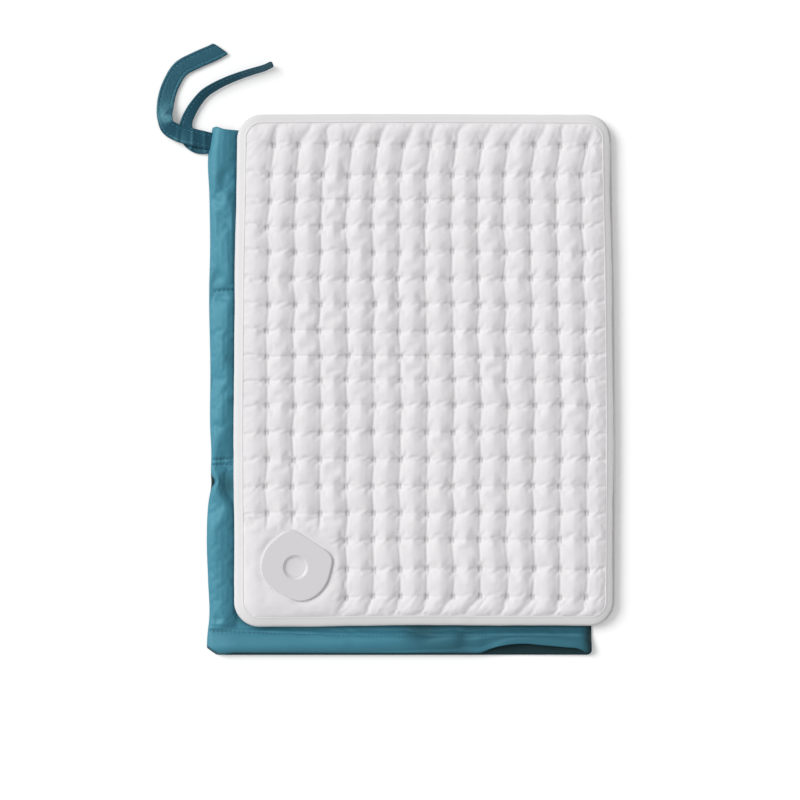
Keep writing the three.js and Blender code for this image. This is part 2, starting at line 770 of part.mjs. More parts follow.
// The tray: a cup inside the pad, with screw bosses, board posts and gaps for the leads.
function hubTray() {
  const inletHole = inletDiameter / 2 + fit;
  const inner = trayRadius - trayWall;
  const cup = turned([
    [inletHole, trayBase],
    [trayRadius, trayBase],
    [trayRadius, trayTop],
    [inner, trayTop],
    [inner, trayFloorTop],
    [inletHole, trayFloorTop],
    [inletHole, trayBase],
  ]);
  const sunk = trayBase + trayFloor / 2;
  const bosses = bossAngles.map((angle) => disc(bossRadius, sunk, bossSplit, ...bossAt(angle), 16));
  const postCircle = boardRadius - postDiameter / 2 - fit;
  const posts = bossAngles.map((angle) => {
    const x = postCircle * Math.cos(angle);
    const y = postCircle * Math.sin(angle);
    return disc(postDiameter / 2, sunk, boardBase - fit, x, y, 10);
  });
  const shanks = bossAngles.map((angle) =>
    disc(screwDiameter / 2 + fit, trayBase - fit, bossSplit + fit, ...bossAt(angle), 12),
  );
  const heads = bossAngles.map((angle) =>
    disc(screwHeadDiameter / 2 + fit / 2, trayBase - fit, screwHeadTop + fit, ...bossAt(angle), 12),
  );
  const gap = cableDiameter + 2 * fit;
  const gaps = [0, sensorAngle, Math.PI / 2].map((angle) =>
    new THREE.BoxGeometry(4 * trayWall, gap, gap).translate(trayRadius, 0, cableAxis).rotateZ(angle),
  );
  return cut(join(cup, ...bosses, ...posts), ...shanks, ...heads, ...gaps);
}

// The gasket between the shell's rim and the quilted panel.
function hubGasket() {
  const ring = loft([
    hubOutline(gasketInset, gasketBase, 40),
    hubOutline(gasketInset, gasketBase + gasketThickness, 40),
  ]);
  return cut(ring, disc(trayRadius + fit, gasketBase - fit, gasketBase + gasketThickness + fit));
}

place(hub, "hub_shell", hubShell(), finishes.hub);
place(hub, "hub_tray", hubTray(), finishes.hub);
place(hub, "hub_gasket", hubGasket(), finishes.seal);

// A pan-head screw, head down.
function hubScrew(angle) {
  const shank = screwDiameter / 2;
  const head = screwHeadDiameter / 2;
  return turned(
    [
      [0, screwBase],
      [head, screwBase],
      [head, screwHeadTop],
      [shank, screwHeadTop],
      [shank, screwTop],
      [0, screwTop],
    ],
    12,
  ).translate(...bossAt(angle), 0);
}

bossAngles.forEach((angle, k) => place(hub, `hub_screw_${k + 1}`, hubScrew(angle), finishes.steel));

// The button and its switch

const capRadius = wellFloorRadius - fit;
const retainerRadius = wellFloorRadius + buttonRetainer;
const domeTop = retainerBase - fit;
const domeRadius = switchSide / Math.SQRT2 + fit + domeThickness;

place(
  hub,
  "button",
  turned([
    [0, stemBase],
    [stemDiameter / 2, stemBase],
    [stemDiameter / 2, retainerBase],
    [retainerRadius, retainerBase],
    [retainerRadius, retainerTop],
    [capRadius, retainerTop],
    [capRadius, buttonTop - buttonEdge],
    [capRadius - buttonEdge, buttonTop],
    [0, buttonTop],
  ]),
  finishes.button,
);
place(
  hub,
  "return_dome",
  turned([
    [domeRadius + domeSpread - domeThickness, onBoard],
    [domeRadius + domeSpread, onBoard],
    [domeRadius, domeTop],
    [domeRadius - domeThickness, domeTop],
    [domeRadius + domeSpread - domeThickness, onBoard],
  ], 24),
  finishes.seal,
);
place(
  hub,
  "switch_body",
  cut(
    block(switchSide, switchSide, onBoard, switchTop),
    disc(plungerDiameter / 2 + fit, plungerBase - buttonTravel - fit, switchTop + fit, 0, 0, 20),
  ),
  finishes.component,
);
const plunger = disc(plungerDiameter / 2, plungerBase, plungerTop, 0, 0, 20);
place(hub, "switch_plunger", plunger, finishes.component);

// The circuit board and its components

const terminalReach = boardRadius - terminalLength / 2;
const terminalAngles = [Math.PI / 2, 0];

// A piece laid out on the +X axis of the board, turned to its angle.
const onAngle = (geometry, angle) => geometry.rotateZ(angle);

function circuitBoard() {
  const notches = terminalAngles.map((angle) => {
    const width = terminalWidth + 2 * fit;
    const length = terminalLength + 2 * fit;
    return onAngle(block(length, width, boardBase - fit, boardTop + fit, terminalReach), angle);
  });
  const pinHoles = [-1, 1].map((side) =>
    disc(pinDiameter / 2 + fit, boardBase - fit, boardTop + fit, (side * pinSpacing) / 2, 0, 10),
  );
  return cut(disc(boardRadius, boardBase, boardTop, 0, 0, 40), ...notches, ...pinHoles);
}

place(hub, "circuit_board", circuitBoard(), finishes.board);

terminalAngles.forEach((angle, k) => {
  const low = cableAxis - cableDiameter / 2;
  const shape = block(terminalLength, terminalWidth, low, low + cableDiameter, terminalReach - fit);
  place(hub, `cable_terminal_${k + 1}`, onAngle(shape, angle), finishes.copper);
});

// Components sit between the dome's foot and the board's edge.
const footRadius = domeRadius + domeSpread + fit;
const componentAt = (depth) => footRadius + depth / 2;
const chip = block(chipSide, chipSide, onBoard, onBoard + chipHeight, componentAt(chipSide));
const transistor = block(
  transistorLength,
  transistorWidth,
  onBoard,
  onBoard + transistorHeight,
  componentAt(transistorLength),
);
const capacitor = disc(
  capacitorDiameter / 2,
  onBoard,
  onBoard + capacitorHeight,
  componentAt(capacitorDiameter),
  0,
  18,
);
place(hub, "control_chip", onAngle(chip, Math.PI), finishes.component);
place(hub, "power_transistor", onAngle(transistor, -Math.PI / 2), finishes.component);
place(hub, "smoothing_capacitor", onAngle(capacitor, (-3 * Math.PI) / 4), finishes.component);

// The power inlet: a round socket in the underside, with two contact pins.
const inletBase = padBase + fit / 2;
const inletTop = boardBase - fit;
const inletFlangeBase = inletTop - inletFlangeThickness;

function powerInlet() {
  const radius = inletDiameter / 2;
  const body = turned([
    [0, inletBase + inletWellDepth],
    [inletWell / 2, inletBase + inletWellDepth],
    [inletWell / 2, inletBase],
    [radius, inletBase],
    [radius, inletFlangeBase],
    [radius + inletFlange, inletFlangeBase],
    [radius + inletFlange, inletTop],
    [0, inletTop],
  ]);
  const holes = [-1, 1].map((side) =>
    disc(pinDiameter / 2 + fit, inletBase, inletTop + fit, (side * pinSpacing) / 2, 0, 10),
  );
  return cut(body, ...holes);
}

place(hub, "power_inlet", powerInlet(), finishes.component);
[-1, 1].forEach((side, k) => {
  const pin = disc(pinDiameter / 2, inletBase + fit, boardTop, (side * pinSpacing) / 2, 0, 10);
  place(hub, `inlet_pin_${k + 1}`, pin, finishes.copper);
});

export default root;
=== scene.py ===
"""The looks of a quilted heating pad with a moulded control hub, lying on its satin cover."""

import json
import math

import bpy
import numpy as np
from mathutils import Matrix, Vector
from mathutils.bvhtree import BVHTree
from mathutils.geometry import tessellate_polygon


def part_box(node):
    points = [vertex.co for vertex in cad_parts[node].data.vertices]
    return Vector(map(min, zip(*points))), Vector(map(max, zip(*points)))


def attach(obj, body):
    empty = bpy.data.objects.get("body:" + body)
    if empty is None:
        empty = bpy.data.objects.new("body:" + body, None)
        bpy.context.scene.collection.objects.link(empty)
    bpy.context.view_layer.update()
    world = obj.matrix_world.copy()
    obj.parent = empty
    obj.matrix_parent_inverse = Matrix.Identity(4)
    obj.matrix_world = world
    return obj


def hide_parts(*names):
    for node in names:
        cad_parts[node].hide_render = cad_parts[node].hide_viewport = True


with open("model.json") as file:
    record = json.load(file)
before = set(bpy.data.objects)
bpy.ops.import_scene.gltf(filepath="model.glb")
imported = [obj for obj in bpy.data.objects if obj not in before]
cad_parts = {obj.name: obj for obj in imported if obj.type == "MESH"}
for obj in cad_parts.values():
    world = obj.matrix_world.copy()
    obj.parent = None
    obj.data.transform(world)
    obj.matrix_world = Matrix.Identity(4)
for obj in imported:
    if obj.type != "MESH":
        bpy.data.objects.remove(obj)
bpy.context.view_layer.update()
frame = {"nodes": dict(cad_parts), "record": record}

bl_info = {
    "name": "Quilted heating pad",
    "version": (1, 0, 0),
    "blender": (4, 5, 0),
    "location": "3D View > Sidebar > Heating pad",
    "description": "Dresses a quilted heating pad, its control hub and its satin cover around their solids",
    "category": "Add Mesh",
}

# Places that the solids give, in metres.
PAD_LOW, PAD_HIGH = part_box("edge_binding")
PANEL_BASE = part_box("pad_top_panel")[0].z
BACK_LOW, BACK_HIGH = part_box("pad_back_panel")
COVER_LOW, COVER_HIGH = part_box("cover_back")
FRONT_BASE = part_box("cover_front")[0].z
SHELL_LOW, SHELL_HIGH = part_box("hub_shell")
BUTTON_LOW, BUTTON_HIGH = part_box("button")
HUB_X = (BUTTON_LOW.x + BUTTON_HIGH.x) / 2
HUB_Y = (BUTTON_LOW.y + BUTTON_HIGH.y) / 2

# How far inside the pad's edge the two fabrics end that the binding holds.
FLANGE_INSET = 0.0011


# Settings

def number(name, default, description, **more):
    return bpy.props.FloatProperty(name=name, description=description, default=default, **more)


def length(name, default, description):
    return number(name, default, description, precision=5, unit="LENGTH")


def share(name, default, description):
    return number(name, default, description, subtype="FACTOR")


def turn(name, degrees, description):
    return number(name, math.radians(degrees), description, subtype="ANGLE")


def colour(name, default, description):
    return bpy.props.FloatVectorProperty(
        name=name, description=description, default=default, size=3, min=0, max=1, subtype="COLOR"
    )


class QuiltSettings(bpy.types.PropertyGroup):
    """The pad's quilted fabric and the tape round its edge"""

    pitch: length("Weld pitch", 0.02133, "Distance between spot welds, both ways")
    shift: length("Lattice shift", 0.0017, "How far the weld lattice sits right of the pad's middle")
    margin: length("Plain margin", 0.022, "Least distance from the pad's edge to a weld")
    inset: length("Panel inset", 0.0078, "How far inside the pad's edge the quilted face starts")
    border: length("Border rise", 0.0011, "How far the quilted face's border is above the welds")
    side_fall: share("Side fall", 0.50, "How much flatter the puffs beside the long edges are")
    landing: length("Landing rise", 0.0036, "How far the plain corner round the hub is above the welds")
    corner: length("Pad corner", 0.020, "Radius of the pad's corners")
    weld: length("Weld thickness", 0.0016, "Height of a weld above the panel's underside")
    crown: length("Crown", 0.0036, "Height of a puff above the welds")
    valley: share("Valley", 0.48, "Height midway between two welds of a column, as a share of the crown")
    ridge: share("Ridge", 0.95, "Height midway between two welds of a row, as a share of the crown")
    lean: share("Lean", 0.55, "How far the folds beside the short edges lean over")
    aside: length("Aside", 0.0010, "How far the fabric lies to the right of the pad's middle")
    stray: length("Stray", 0.0004, "How far a weld may be off its place")
    alternate: length("Alternate shift", 0.0004, "How far the weld rows are moved right and left by turns")
    fold_line: length("Fold line", 0.0107, "Where the pad has been folded across, along a row of welds")
    slack: share("Slack", 0.010, "How much larger the cloth is cut than the space that it fills")
    pressure: number("Filling pressure", 0.9, "How hard the filling pushes the cloth up")
    crease: length("Crease", 0.00027, "Depth of the crease between two welds of a row")
    wrinkle: length("Wrinkle", 0.0004, "Depth of the slanting wrinkles beside the short edges")
    pinch: length("Pinch", 0.0006, "Depth of a weld's imprint")
    colour: colour("Fabric", (0.745, 0.727, 0.741), "Colour of the quilted fabric")
    tape: colour("Tape", (0.715, 0.706, 0.712), "Colour of the binding")


class HubSettings(bpy.types.PropertyGroup):
    """The moulded control hub and its push button"""

    radius: length("Radius", 0.029, "Radius of the hub's round sides")
    flat: length("Flat", 0.026, "Distance from the centre to each flat side")
    flat_angle: turn("Flat angle", 57, "Direction of the longer flat side")
    spread: turn("Flat spread", 72, "Angle over which the longer flat runs on straight")
    edge: length("Edge", 0.0020, "Width of the rounded edge")
    well: length("Well diameter", 0.0195, "Diameter of the bowl that the button is in")
    well_floor: length("Well floor", 0.0148, "Diameter of the bowl's floor, where the button is")
    well_edge: length("Well edge", 0.0002, "Rounding of the well's rim")
    well_curve: number("Well curve", 1.3, "How much steeper the bowl grows towards its rim")
    gap: length("Button gap", 0.00003, "Clearance round the button")
    dish: length("Dish", 0.00035, "How far the button's face is hollowed")
    colour: colour("Moulding", (0.652, 0.634, 0.656), "Colour of the hub")
    button: colour("Button", (0.690, 0.668, 0.694), "Colour of the button")


class CoverSettings(bpy.types.PropertyGroup):
    """The satin cover that the pad lies on"""

    cloth: length("Cloth", 0.0006, "Thickness of the satin")
    puff: length("Puff", 0.0046, "How high the free margin swells")
    margin: length("Lower margin", 0.0205, "Width of the margin that swells along the mouth")
    side_margin: length("Side margin", 0.0225, "Width of the margin that swells along the left side")
    roll: length("Rolled edge", 0.0050, "Width over which the edges roll down to their seam")
    mouth_roll: length("Rolled hem", 0.0042, "Width over which the hem rolls down to its edge")
    end_roll: length("Rolled end", 0.0095, "Width over which the right end rolls down")
    spread: length("Spread", 0.0010, "How far the lower and the right edge have slid out of true")
    corner: length("Corner", 0.004, "Radius of the corners")
    tucked_x: length("Tuck across", 0.0085, "How much of the lower left corner is tucked under, across")
    tucked_y: length("Tuck along", 0.0058, "How much of the lower left corner is tucked under, along")
    hem_step: length("Hem step", 0.0010, "How far the doubled hem stands above the single cloth")
    hem_seam: length("Hem seam", 0.0029, "How far the hem's stitches are from its inner edge")
    hem_rest: length("Hem height", 0.0034, "How high the hem's edge stands up along the mouth")
    set_back: length("Set back", 0.0011, "How far the upper layer's hem is set back from the lower layer's")
    notch: length("Notch", 0.0030, "How far the upper layer is drawn in at the notch below the double seam")
    notch_at: length("Notch place", -0.0911, "Where that notch is along the left side")
    mouth_lift: length("Mouth lift", 0.0048, "How high the upper layer stands open at the mouth")
    mouth_back: length("Mouth recess", 0.0080, "How far the upper layer draws back at the mouth")
    slack: share("Slack", 0.004, "How much larger the cloth is cut than the space that it fills")
    stitch: length("Stitch", 0.0022, "Length of one stitch")
    stitch_gap: length("Stitch gap", 0.0012, "Space between two stitches")
    thread: length("Thread", 0.00045, "Thickness of the sewing thread")
    colour: colour("Satin", (0.050, 0.214, 0.297), "Colour of the satin")
    thread_colour: colour("Seam thread", (0.018, 0.085, 0.12), "Colour of the thread in the cover's seams")


class TieSettings(bpy.types.PropertyGroup):
    """The two ribbons that tie the cover shut"""

    width: length("Width", 0.014, "Width of a ribbon")
    thickness: length("Thickness", 0.001, "Thickness of a ribbon at its hems")
    hem: length("Hem", 0.0026, "Distance from a ribbon's edge to its stitches")
    from_top: length("Seam from top", 0.011, "How far below the cover's top the ribbons leave the seam")
    seam_gap: length("Seam gap", 0.0003, "Clearance between the ribbons and the cover's edge")
    slant: turn("Slant", 25, "Slant of a ribbon's cut end")
    fold_angle: turn("Fold angle", 174, "How far the folded part of a ribbon is turned under")
    bend: length("Fold bend", 0.0024, "Width of the ribbon that bends in the fold")
    colour: colour("Ribbon", (0.013, 0.062, 0.102), "Colour of the ribbons")
    thread_colour: colour("Ribbon thread", (0.055, 0.25, 0.32), "Colour of the thread along the ribbons")


class StageSettings(bpy.types.PropertyGroup):
    """The camera, the light and the floor"""

    distance: length("Camera distance", 1.6, "Distance from the camera to the pad")
    tilt: turn("Camera tilt", 3, "How far the camera leans from straight above")
    view: length("View width", 0.6415, "Width of what the picture shows")
    aim_x: length("Aim across", -0.0186, "Where the picture's middle is, across")
    aim_y: length("Aim along", -0.0260, "Where the picture's middle is, along")
    key_turn: turn("Key direction", 155, "Where the key light comes from, turned from +X")
    key_rise: turn("Key height", 38, "How high the key light stands")
    key_spread: turn("Key spread", 42, "How wide the key light looks from the pad")
    key: share("Key", 0.50, "Brightness that the key light gives a level white surface")
    fill: share("Fill", 0.50, "Brightness of the even light from all round")


class HeatingPadSettings(bpy.types.PropertyGroup):
    """Everything that can be set"""

    quilt: bpy.props.PointerProperty(type=QuiltSettings)
    hub: bpy.props.PointerProperty(type=HubSettings)
    cover: bpy.props.PointerProperty(type=CoverSettings)
    ties: bpy.props.PointerProperty(type=TieSettings)
    stage: bpy.props.PointerProperty(type=StageSettings)


# Shader values and finishes

class Value:
    """A shader socket that can be used in plain arithmetic."""

    def __init__(self, finish, socket):
        self.finish = finish
        self.socket = socket

    def maths(self, operation, other):
        return self.finish.node("ShaderNodeMath", {"operation": operation}, {0: self, 1: other})

    def __add__(self, other):
        return self.maths("ADD", other)

    def __sub__(self, other):
        return self.maths("SUBTRACT", other)

    def __mul__(self, other):
        return self.maths("MULTIPLY", other)

    __radd__ = __add__
    __rmul__ = __mul__


class Finish:
    """A material, or the world, that is being made of shader nodes."""

    def __init__(self, name, store="materials"):
        self.made = getattr(bpy.data, store).new(name)
        self.made.use_nodes = True
        self.tree = self.made.node_tree
        self.tree.nodes.clear()

    def node(self, kind, settings=None, inputs=None, output=0):
        """A new node's output, with its settings made first and then its sockets filled or linked."""
        made = self.tree.nodes.new(kind)
        for key, setting in (settings or {}).items():
            setattr(made, key, setting)
        for key, value in (inputs or {}).items():
            socket = self.shown(made.inputs, key)
            if isinstance(value, Value):
                self.tree.links.new(value.socket, socket)
            else:
                socket.default_value = value
        return Value(self, self.shown(made.outputs, output))

    @staticmethod
    def shown(sockets, key):
        """The socket with that number, or the one with that name that is in use."""
        if isinstance(key, int):
            return sockets[key]
        return next(s for s in sockets if s.name == key and s.enabled)

    def place(self, stretch=(1, 1, 1)):
        """Where a point of the surface is, in metres, stretched along the axes."""
        place = self.node("ShaderNodeTexCoord", output="Object")
        return self.node("ShaderNodeVectorMath", {"operation": "MULTIPLY"}, {0: place, 1: stretch})

    def noise(self, size, detail=2.0, stretch=(1, 1, 1)):
        """Soft random values, with spots of about that size in metres."""
        inputs = {"Vector": self.place(stretch), "Scale": 1 / size, "Detail": detail}
        return self.node("ShaderNodeTexNoise", inputs=inputs, output="Fac")

    def threads(self, spacing, direction, wander=0.0):
        """Bands that are that far apart in metres, across X, Y or on the diagonal."""
        inputs = {
            "Vector": self.place(),
            "Scale": math.tau / (20 * spacing),
            "Distortion": wander,
            "Detail": 1.0,
        }
        return self.node("ShaderNodeTexWave", {"bands_direction": direction}, inputs, output="Fac")

    def attribute(self, name):
        """A value that the points of a piece carry."""
        return self.node("ShaderNodeAttribute", {"attribute_name": name}, output="Fac")

    def mix(self, first, second, factor):
        """Two colours, mixed by a factor."""
        inputs = {"Factor": factor, "A": first, "B": second}
        return self.node("ShaderNodeMix", {"data_type": "RGBA"}, inputs, output="Result")

    def shades(self, colour_set, low, high, factor):
        """A colour between two levels of its brightness."""
        return self.mix(opaque(colour_set, low), opaque(colour_set, high), factor)

    def bump(self, height, depth, under=None):
        """A surface normal that follows a height between 0 and 1, that deep in metres."""
        inputs = {"Height": height, "Distance": depth, "Strength": 1.0}
        if under is not None:
            inputs["Normal"] = under
        return self.node("ShaderNodeBump", inputs=inputs, output="Normal")

    def surface(self, base, rough, normal, others=None):
        """The finished material: one principled shader with these sockets."""
        inputs = {"Base Color": base, "Roughness": rough, "Normal": normal, **(others or {})}
        self.node_out(self.node("ShaderNodeBsdfPrincipled", inputs=inputs))
        return self.made

    def patterned(self, colour_set, pattern, low, high, rough, depth, others=None):
        """The finished material, with a colour and a bump that follow one pattern."""
        base = self.shades(colour_set, low, high, pattern)
        return self.surface(base, rough, self.bump(pattern, depth), others)

    def node_out(self, shader, kind="Material"):
        """Makes a shader the one that is seen."""
        out = self.tree.nodes.new(f"ShaderNodeOutput{kind}")
        self.tree.links.new(shader.socket, out.inputs["Surface"])


def opaque(colour_set, level=1.0):
    """A colour as a shader takes it, lighter or darker by a level."""
    return (*(min(channel * level, 1.0) for channel in colour_set), 1.0)


def quilt_finish(colour_set):
    """Soft non-woven fabric, flattened and smoother in the welds, where painted shade darkens it."""
    finish = Finish("quilt_fabric")
    fibre = finish.noise(0.0012, 4)
    pressed_and_shaded = finish.attribute("pressed_and_shaded")
    base = finish.shades(colour_set, 1.0, 0.965, finish.noise(0.030, 3))
    # Painted shade: the welds' pits and bars are darkened towards two thirds of the fabric's colour.
    base = finish.mix(base, opaque(colour_set, 0.66), pressed_and_shaded)
    rough = 0.86 + 0.10 * fibre - 0.18 * pressed_and_shaded
    normal = finish.bump(fibre, 0.00008, finish.bump(finish.noise(0.0005, 2), 0.00003))
    return finish.surface(base, rough, normal, {"Specular IOR Level": 0.25})


def underside_finish(colour_set):
    """The same fabric without the welds' imprints, with a fine woven ground."""
    finish = Finish("underside_fabric")
    fibre = finish.noise(0.0012, 4)
    weave = finish.threads(0.0008, "DIAGONAL", 0.3)
    base = finish.shades(colour_set, 0.99, 0.93, finish.noise(0.03, 3))
    normal = finish.bump(weave, 0.00003, finish.bump(fibre, 0.00008))
    return finish.surface(base, 0.84 + 0.12 * fibre, normal)


def tape_finish(colour_set):
    """Woven tape with a fine rib and a slightly smoother face than the quilting."""
    finish = Finish("binding_tape")
    weave = finish.threads(0.0007, "DIAGONAL")
    cloud = finish.noise(0.018, 3)
    base = finish.shades(colour_set, 1.0, 0.96, cloud)
    normal = finish.bump(weave, 0.00004, finish.bump(finish.noise(0.0009, 3), 0.00005))
    return finish.surface(base, 0.74 + 0.12 * cloud, normal, {"Specular IOR Level": 0.3})


def satin_finish(name, colour_set, gloss, sheen):
    """Satin: a smooth face with fine threads that shines along the folds, darkened and made rougher by
    painted shade where its points carry it.
    """
    finish = Finish(name)
    warp = finish.threads(0.00042, "X", 0.6)
    weft = finish.threads(0.0011, "DIAGONAL", 0.4)
    slub = finish.noise(0.004, 3, (1, 0.12, 1))
    inner = finish.attribute("inner")
    base = finish.shades(colour_set, 0.95, 1.05, finish.noise(0.035, 2))
    base = finish.mix(base, opaque(colour_set, 0.88), 0.25 * slub)
    # Painted shade: where the points carry inner, the satin is darkened towards a twentieth of its colour.
    base = finish.mix(base, opaque(colour_set, 0.05), inner)
    rough = 0.48 - gloss + 0.08 * slub + 0.20 * inner
    normal = finish.bump(weft, 0.00002, finish.bump(warp, 0.00003))
    return finish.surface(base, rough, normal, {"Specular IOR Level": 0.6, "Specular Tint": opaque(sheen)})


def thread_finish(name, colour_set):
    """Twisted sewing thread."""
    finish = Finish(name)
    twist = finish.threads(0.0005, "DIAGONAL")
    return finish.patterned(colour_set, twist, 0.75, 1.15, 0.55, 0.00005)


def moulding_finish(name, colour_set, rough=0.40):
    """Moulded plastic with a fine satin texture."""
    finish = Finish(name)
    grain = finish.noise(0.00035, 2)
    base = finish.shades(colour_set, 0.985, 1.01, finish.noise(0.012, 2))
    normal = finish.bump(grain, 0.000012)
    return finish.surface(base, rough + 0.10 * grain, normal, {"Specular IOR Level": 0.4})


def rubber_finish(name, colour_set):
    """Matte rubber with a fine grain."""
    finish = Finish(name)
    grain = finish.noise(0.0006, 3)
    return finish.patterned(colour_set, grain, 0.9, 1.05, 0.7 + 0.2 * grain, 0.00003)


def metal_finish(name, colour_set):
    """Metal, brushed across."""
    finish = Finish(name)
    brushed = finish.noise(0.0012, 3, (0.1, 1, 1))
    return finish.patterned(colour_set, brushed, 0.85, 1.1, 0.25 + 0.2 * brushed, 0.00001, {"Metallic": 1.0})


def fibre_finish(name, colour_set):
    """Loose fibre or plain cloth inside the pad."""
    finish = Finish(name)
    fibre = finish.noise(0.0025, 5, (1, 0.3, 1))
    return finish.patterned(colour_set, fibre, 0.88, 1.04, 0.92, 0.0002)


# Shapes

def ease(t):
    """A smooth step from 0 to 1."""
    t = np.clip(t, 0, 1)
    return t * t * (3 - 2 * t)


def fade(distance, width):
    """1 at no distance, falling smoothly to 0 at that width."""
    return 1 - ease(distance / width)


def bell(offset, width, power=2):
    """1 at no offset, falling off over about that width, with a flatter top at a higher even power."""
    return np.exp(-((offset / width) ** power))


def unit(vectors):
    """The directions of vectors."""
    return vectors / np.linalg.norm(vectors, axis=-1, keepdims=True)


def run_along(points):
    """How far along a line of points each of them is."""
    return np.concatenate([[0], np.cumsum(np.linalg.norm(np.diff(points, axis=0), axis=1))])


def ripple(x, y, size, seed):
    """Smooth seeded values from -1 to 1, with bumps about that size apart."""
    count = 97
    draws = np.random.default_rng(seed).uniform(-1, 1, (count, count))
    u, v = x / size, y / size
    i, j = np.floor(u).astype(int), np.floor(v).astype(int)
    s, t = ease(u - i), ease(v - j)
    low = draws[i % count, j % count] * (1 - s) + draws[(i + 1) % count, j % count] * s
    high = draws[i % count, (j + 1) % count] * (1 - s) + draws[(i + 1) % count, (j + 1) % count] * s
    return low * (1 - t) + high * t


def spline_matrix(knots, places):
    """Weights that carry values at knots to other places, along a smooth curve through every value."""
    cell = np.clip(np.searchsorted(knots, places, "right") - 1, 0, len(knots) - 2)
    gap = np.diff(knots)[cell][:, None]
    t = ((places - knots[cell]) / np.diff(knots)[cell])[:, None]
    values = np.eye(len(knots))
    slopes = np.gradient(values, knots, axis=0)
    ahead = 3 * t**2 - 2 * t**3
    leaving = t**3 - 2 * t**2 + t
    arriving = t**3 - t**2
    curve = (1 - ahead) * values[cell] + ahead * values[cell + 1]
    return curve + gap * (leaving * slopes[cell] + arriving * slopes[cell + 1])


def course(knots, places):
    """A smooth course through knots of a place and a value in millimetres, at any places in metres."""
    at, values = np.array(knots).T / 1000
    held = np.clip(np.ravel(places), at[0], at[-1])
    return (spline_matrix(at, held) @ values).reshape(np.shape(places))


def curve_through(points, count):
    """Evenly spread places on a smooth curve through points, whose first three values are a place."""
    points = np.array(points, float)
    knots = run_along(points[:, :3])
    return spline_matrix(knots, np.linspace(0, knots[-1], count)) @ points


def finer(grid, lines, finer_lines):
    """A grid of points, carried from its lines across and along to finer ones."""
    carry_x, carry_y = (spline_matrix(*pair) for pair in zip(lines, finer_lines))
    return np.stack([carry_y @ grid[..., k] @ carry_x.T for k in range(grid.shape[-1])], -1)


def even_lines(stops, step):
    """Lines across a grid: every stop, and even steps between them."""
    lines = [stops[0]]
    for low, high in zip(stops, stops[1:]):
        count = max(round((high - low) / step), 1)
        lines.extend(np.linspace(low, high, count + 1)[1:])
    return np.array(lines)


def runs_of_lines(stops, steps):
    """Grid lines from the first stop to the last, even in each run between two stops."""
    runs = [even_lines(ends, step)[1:] for ends, step in zip(zip(stops, stops[1:]), steps)]
    return np.array([stops[0], *np.concatenate(runs)])


def close_lines(stops):
    """Lines across a grid: every stop, with close lines on both sides of it and wide ones midway."""
    shares = np.array((0, 0.05, 0.10, 0.15, 0.21, 0.28, 0.36, 0.46, 0.58, 0.72, 0.86))
    lines = []
    for low, high in zip(stops, stops[1:]):
        half = (high - low) / 2
        lines.extend(low + half * shares)
        lines.append(low + half)
        lines.extend(high - half * shares[:0:-1])
    return np.array([*lines, stops[-1]])


def middle_and_half(low, high):
    """A rectangle's middle and half its size, each across and along."""
    low, high = np.array(low[:2]), np.array(high[:2])
    return *(low + high) / 2, *(high - low) / 2


def round_corners(x, y, low, high, radius):
    """Grid points with those in the corner squares drawn in to rounded corners."""
    middle_x, middle_y, half_x, half_y = middle_and_half(low, high)
    side_x, side_y = np.sign(x - middle_x), np.sign(y - middle_y)
    u = np.clip((np.abs(x - middle_x) - (half_x - radius)) / radius, 0, 1)
    v = np.clip((np.abs(y - middle_y) - (half_y - radius)) / radius, 0, 1)
    back_x = radius * u * (1 - np.sqrt(1 - v**2 / 2))
    back_y = radius * v * (1 - np.sqrt(1 - u**2 / 2))
    return x - side_x * back_x, y - side_y * back_y


def edge_distance(x, y, low, high, radius):
    """How far a point is inside a rounded rectangle."""
    middle_x, middle_y, half_x, half_y = middle_and_half(low, high)
    over_x = np.abs(x - middle_x) - (half_x - radius)
    over_y = np.abs(y - middle_y) - (half_y - radius)
    outside = np.hypot(np.maximum(over_x, 0), np.maximum(over_y, 0))
    return radius - outside - np.minimum(np.maximum(over_x, over_y), 0)


def at_level(plane, height):
    """Points of a plane at one height."""
    return np.column_stack([plane, np.full(len(plane), height)])


def grid_quads(rows, columns):
    """Quads between the points of a grid, row by row."""
    index = np.arange(rows * columns).reshape(rows, columns)
    corners = [index[:-1, :-1], index[:-1, 1:], index[1:, 1:], index[1:, :-1]]
    return np.stack(corners, -1).reshape(-1, 4)


def open_edges(quads):
    """The loops round the edge of quads and round each hole in them, each in the quads' own direction."""
    edges = np.concatenate([quads[:, [k, (k + 1) % 4]] for k in range(4)])
    present = set(map(tuple, edges.tolist()))
    following = {a: b for a, b in present if (b, a) not in present}
    loops = []
    while following:
        start = min(following)
        loop = [start]
        while (after := following.pop(loop[-1])) != start:
            loop.append(after)
        loops.append(np.array(loop))
    return sorted(loops, key=len, reverse=True)


def band(first, second):
    """Quads between two loops of equally many points."""
    return np.stack([first, np.roll(first, -1), np.roll(second, -1), second], -1)


def tube_faces(loops):
    """Faces of a tube through loops of points, with both ends filled."""
    walls = [quad for low, high in zip(loops, loops[1:]) for quad in band(low, high)]
    return [*walls, loops[0][::-1], loops[-1]]


def piece_of(name, points, faces, finish):
    """A new smooth object of points and faces."""
    mesh = bpy.data.meshes.new(name)
    mesh.from_pydata(np.asarray(points, float).tolist(), [], [list(map(int, face)) for face in faces])
    mesh.shade_smooth()
    mesh.materials.append(finish)
    piece = bpy.data.objects.new(name, mesh)
    bpy.context.scene.collection.objects.link(piece)
    return piece


def mark(piece, name, values):
    """Gives each point of a piece a value that its finish reads."""
    attribute = piece.data.attributes.new(name, "FLOAT", "POINT")
    attribute.data.foreach_set("value", values.astype(np.float32))


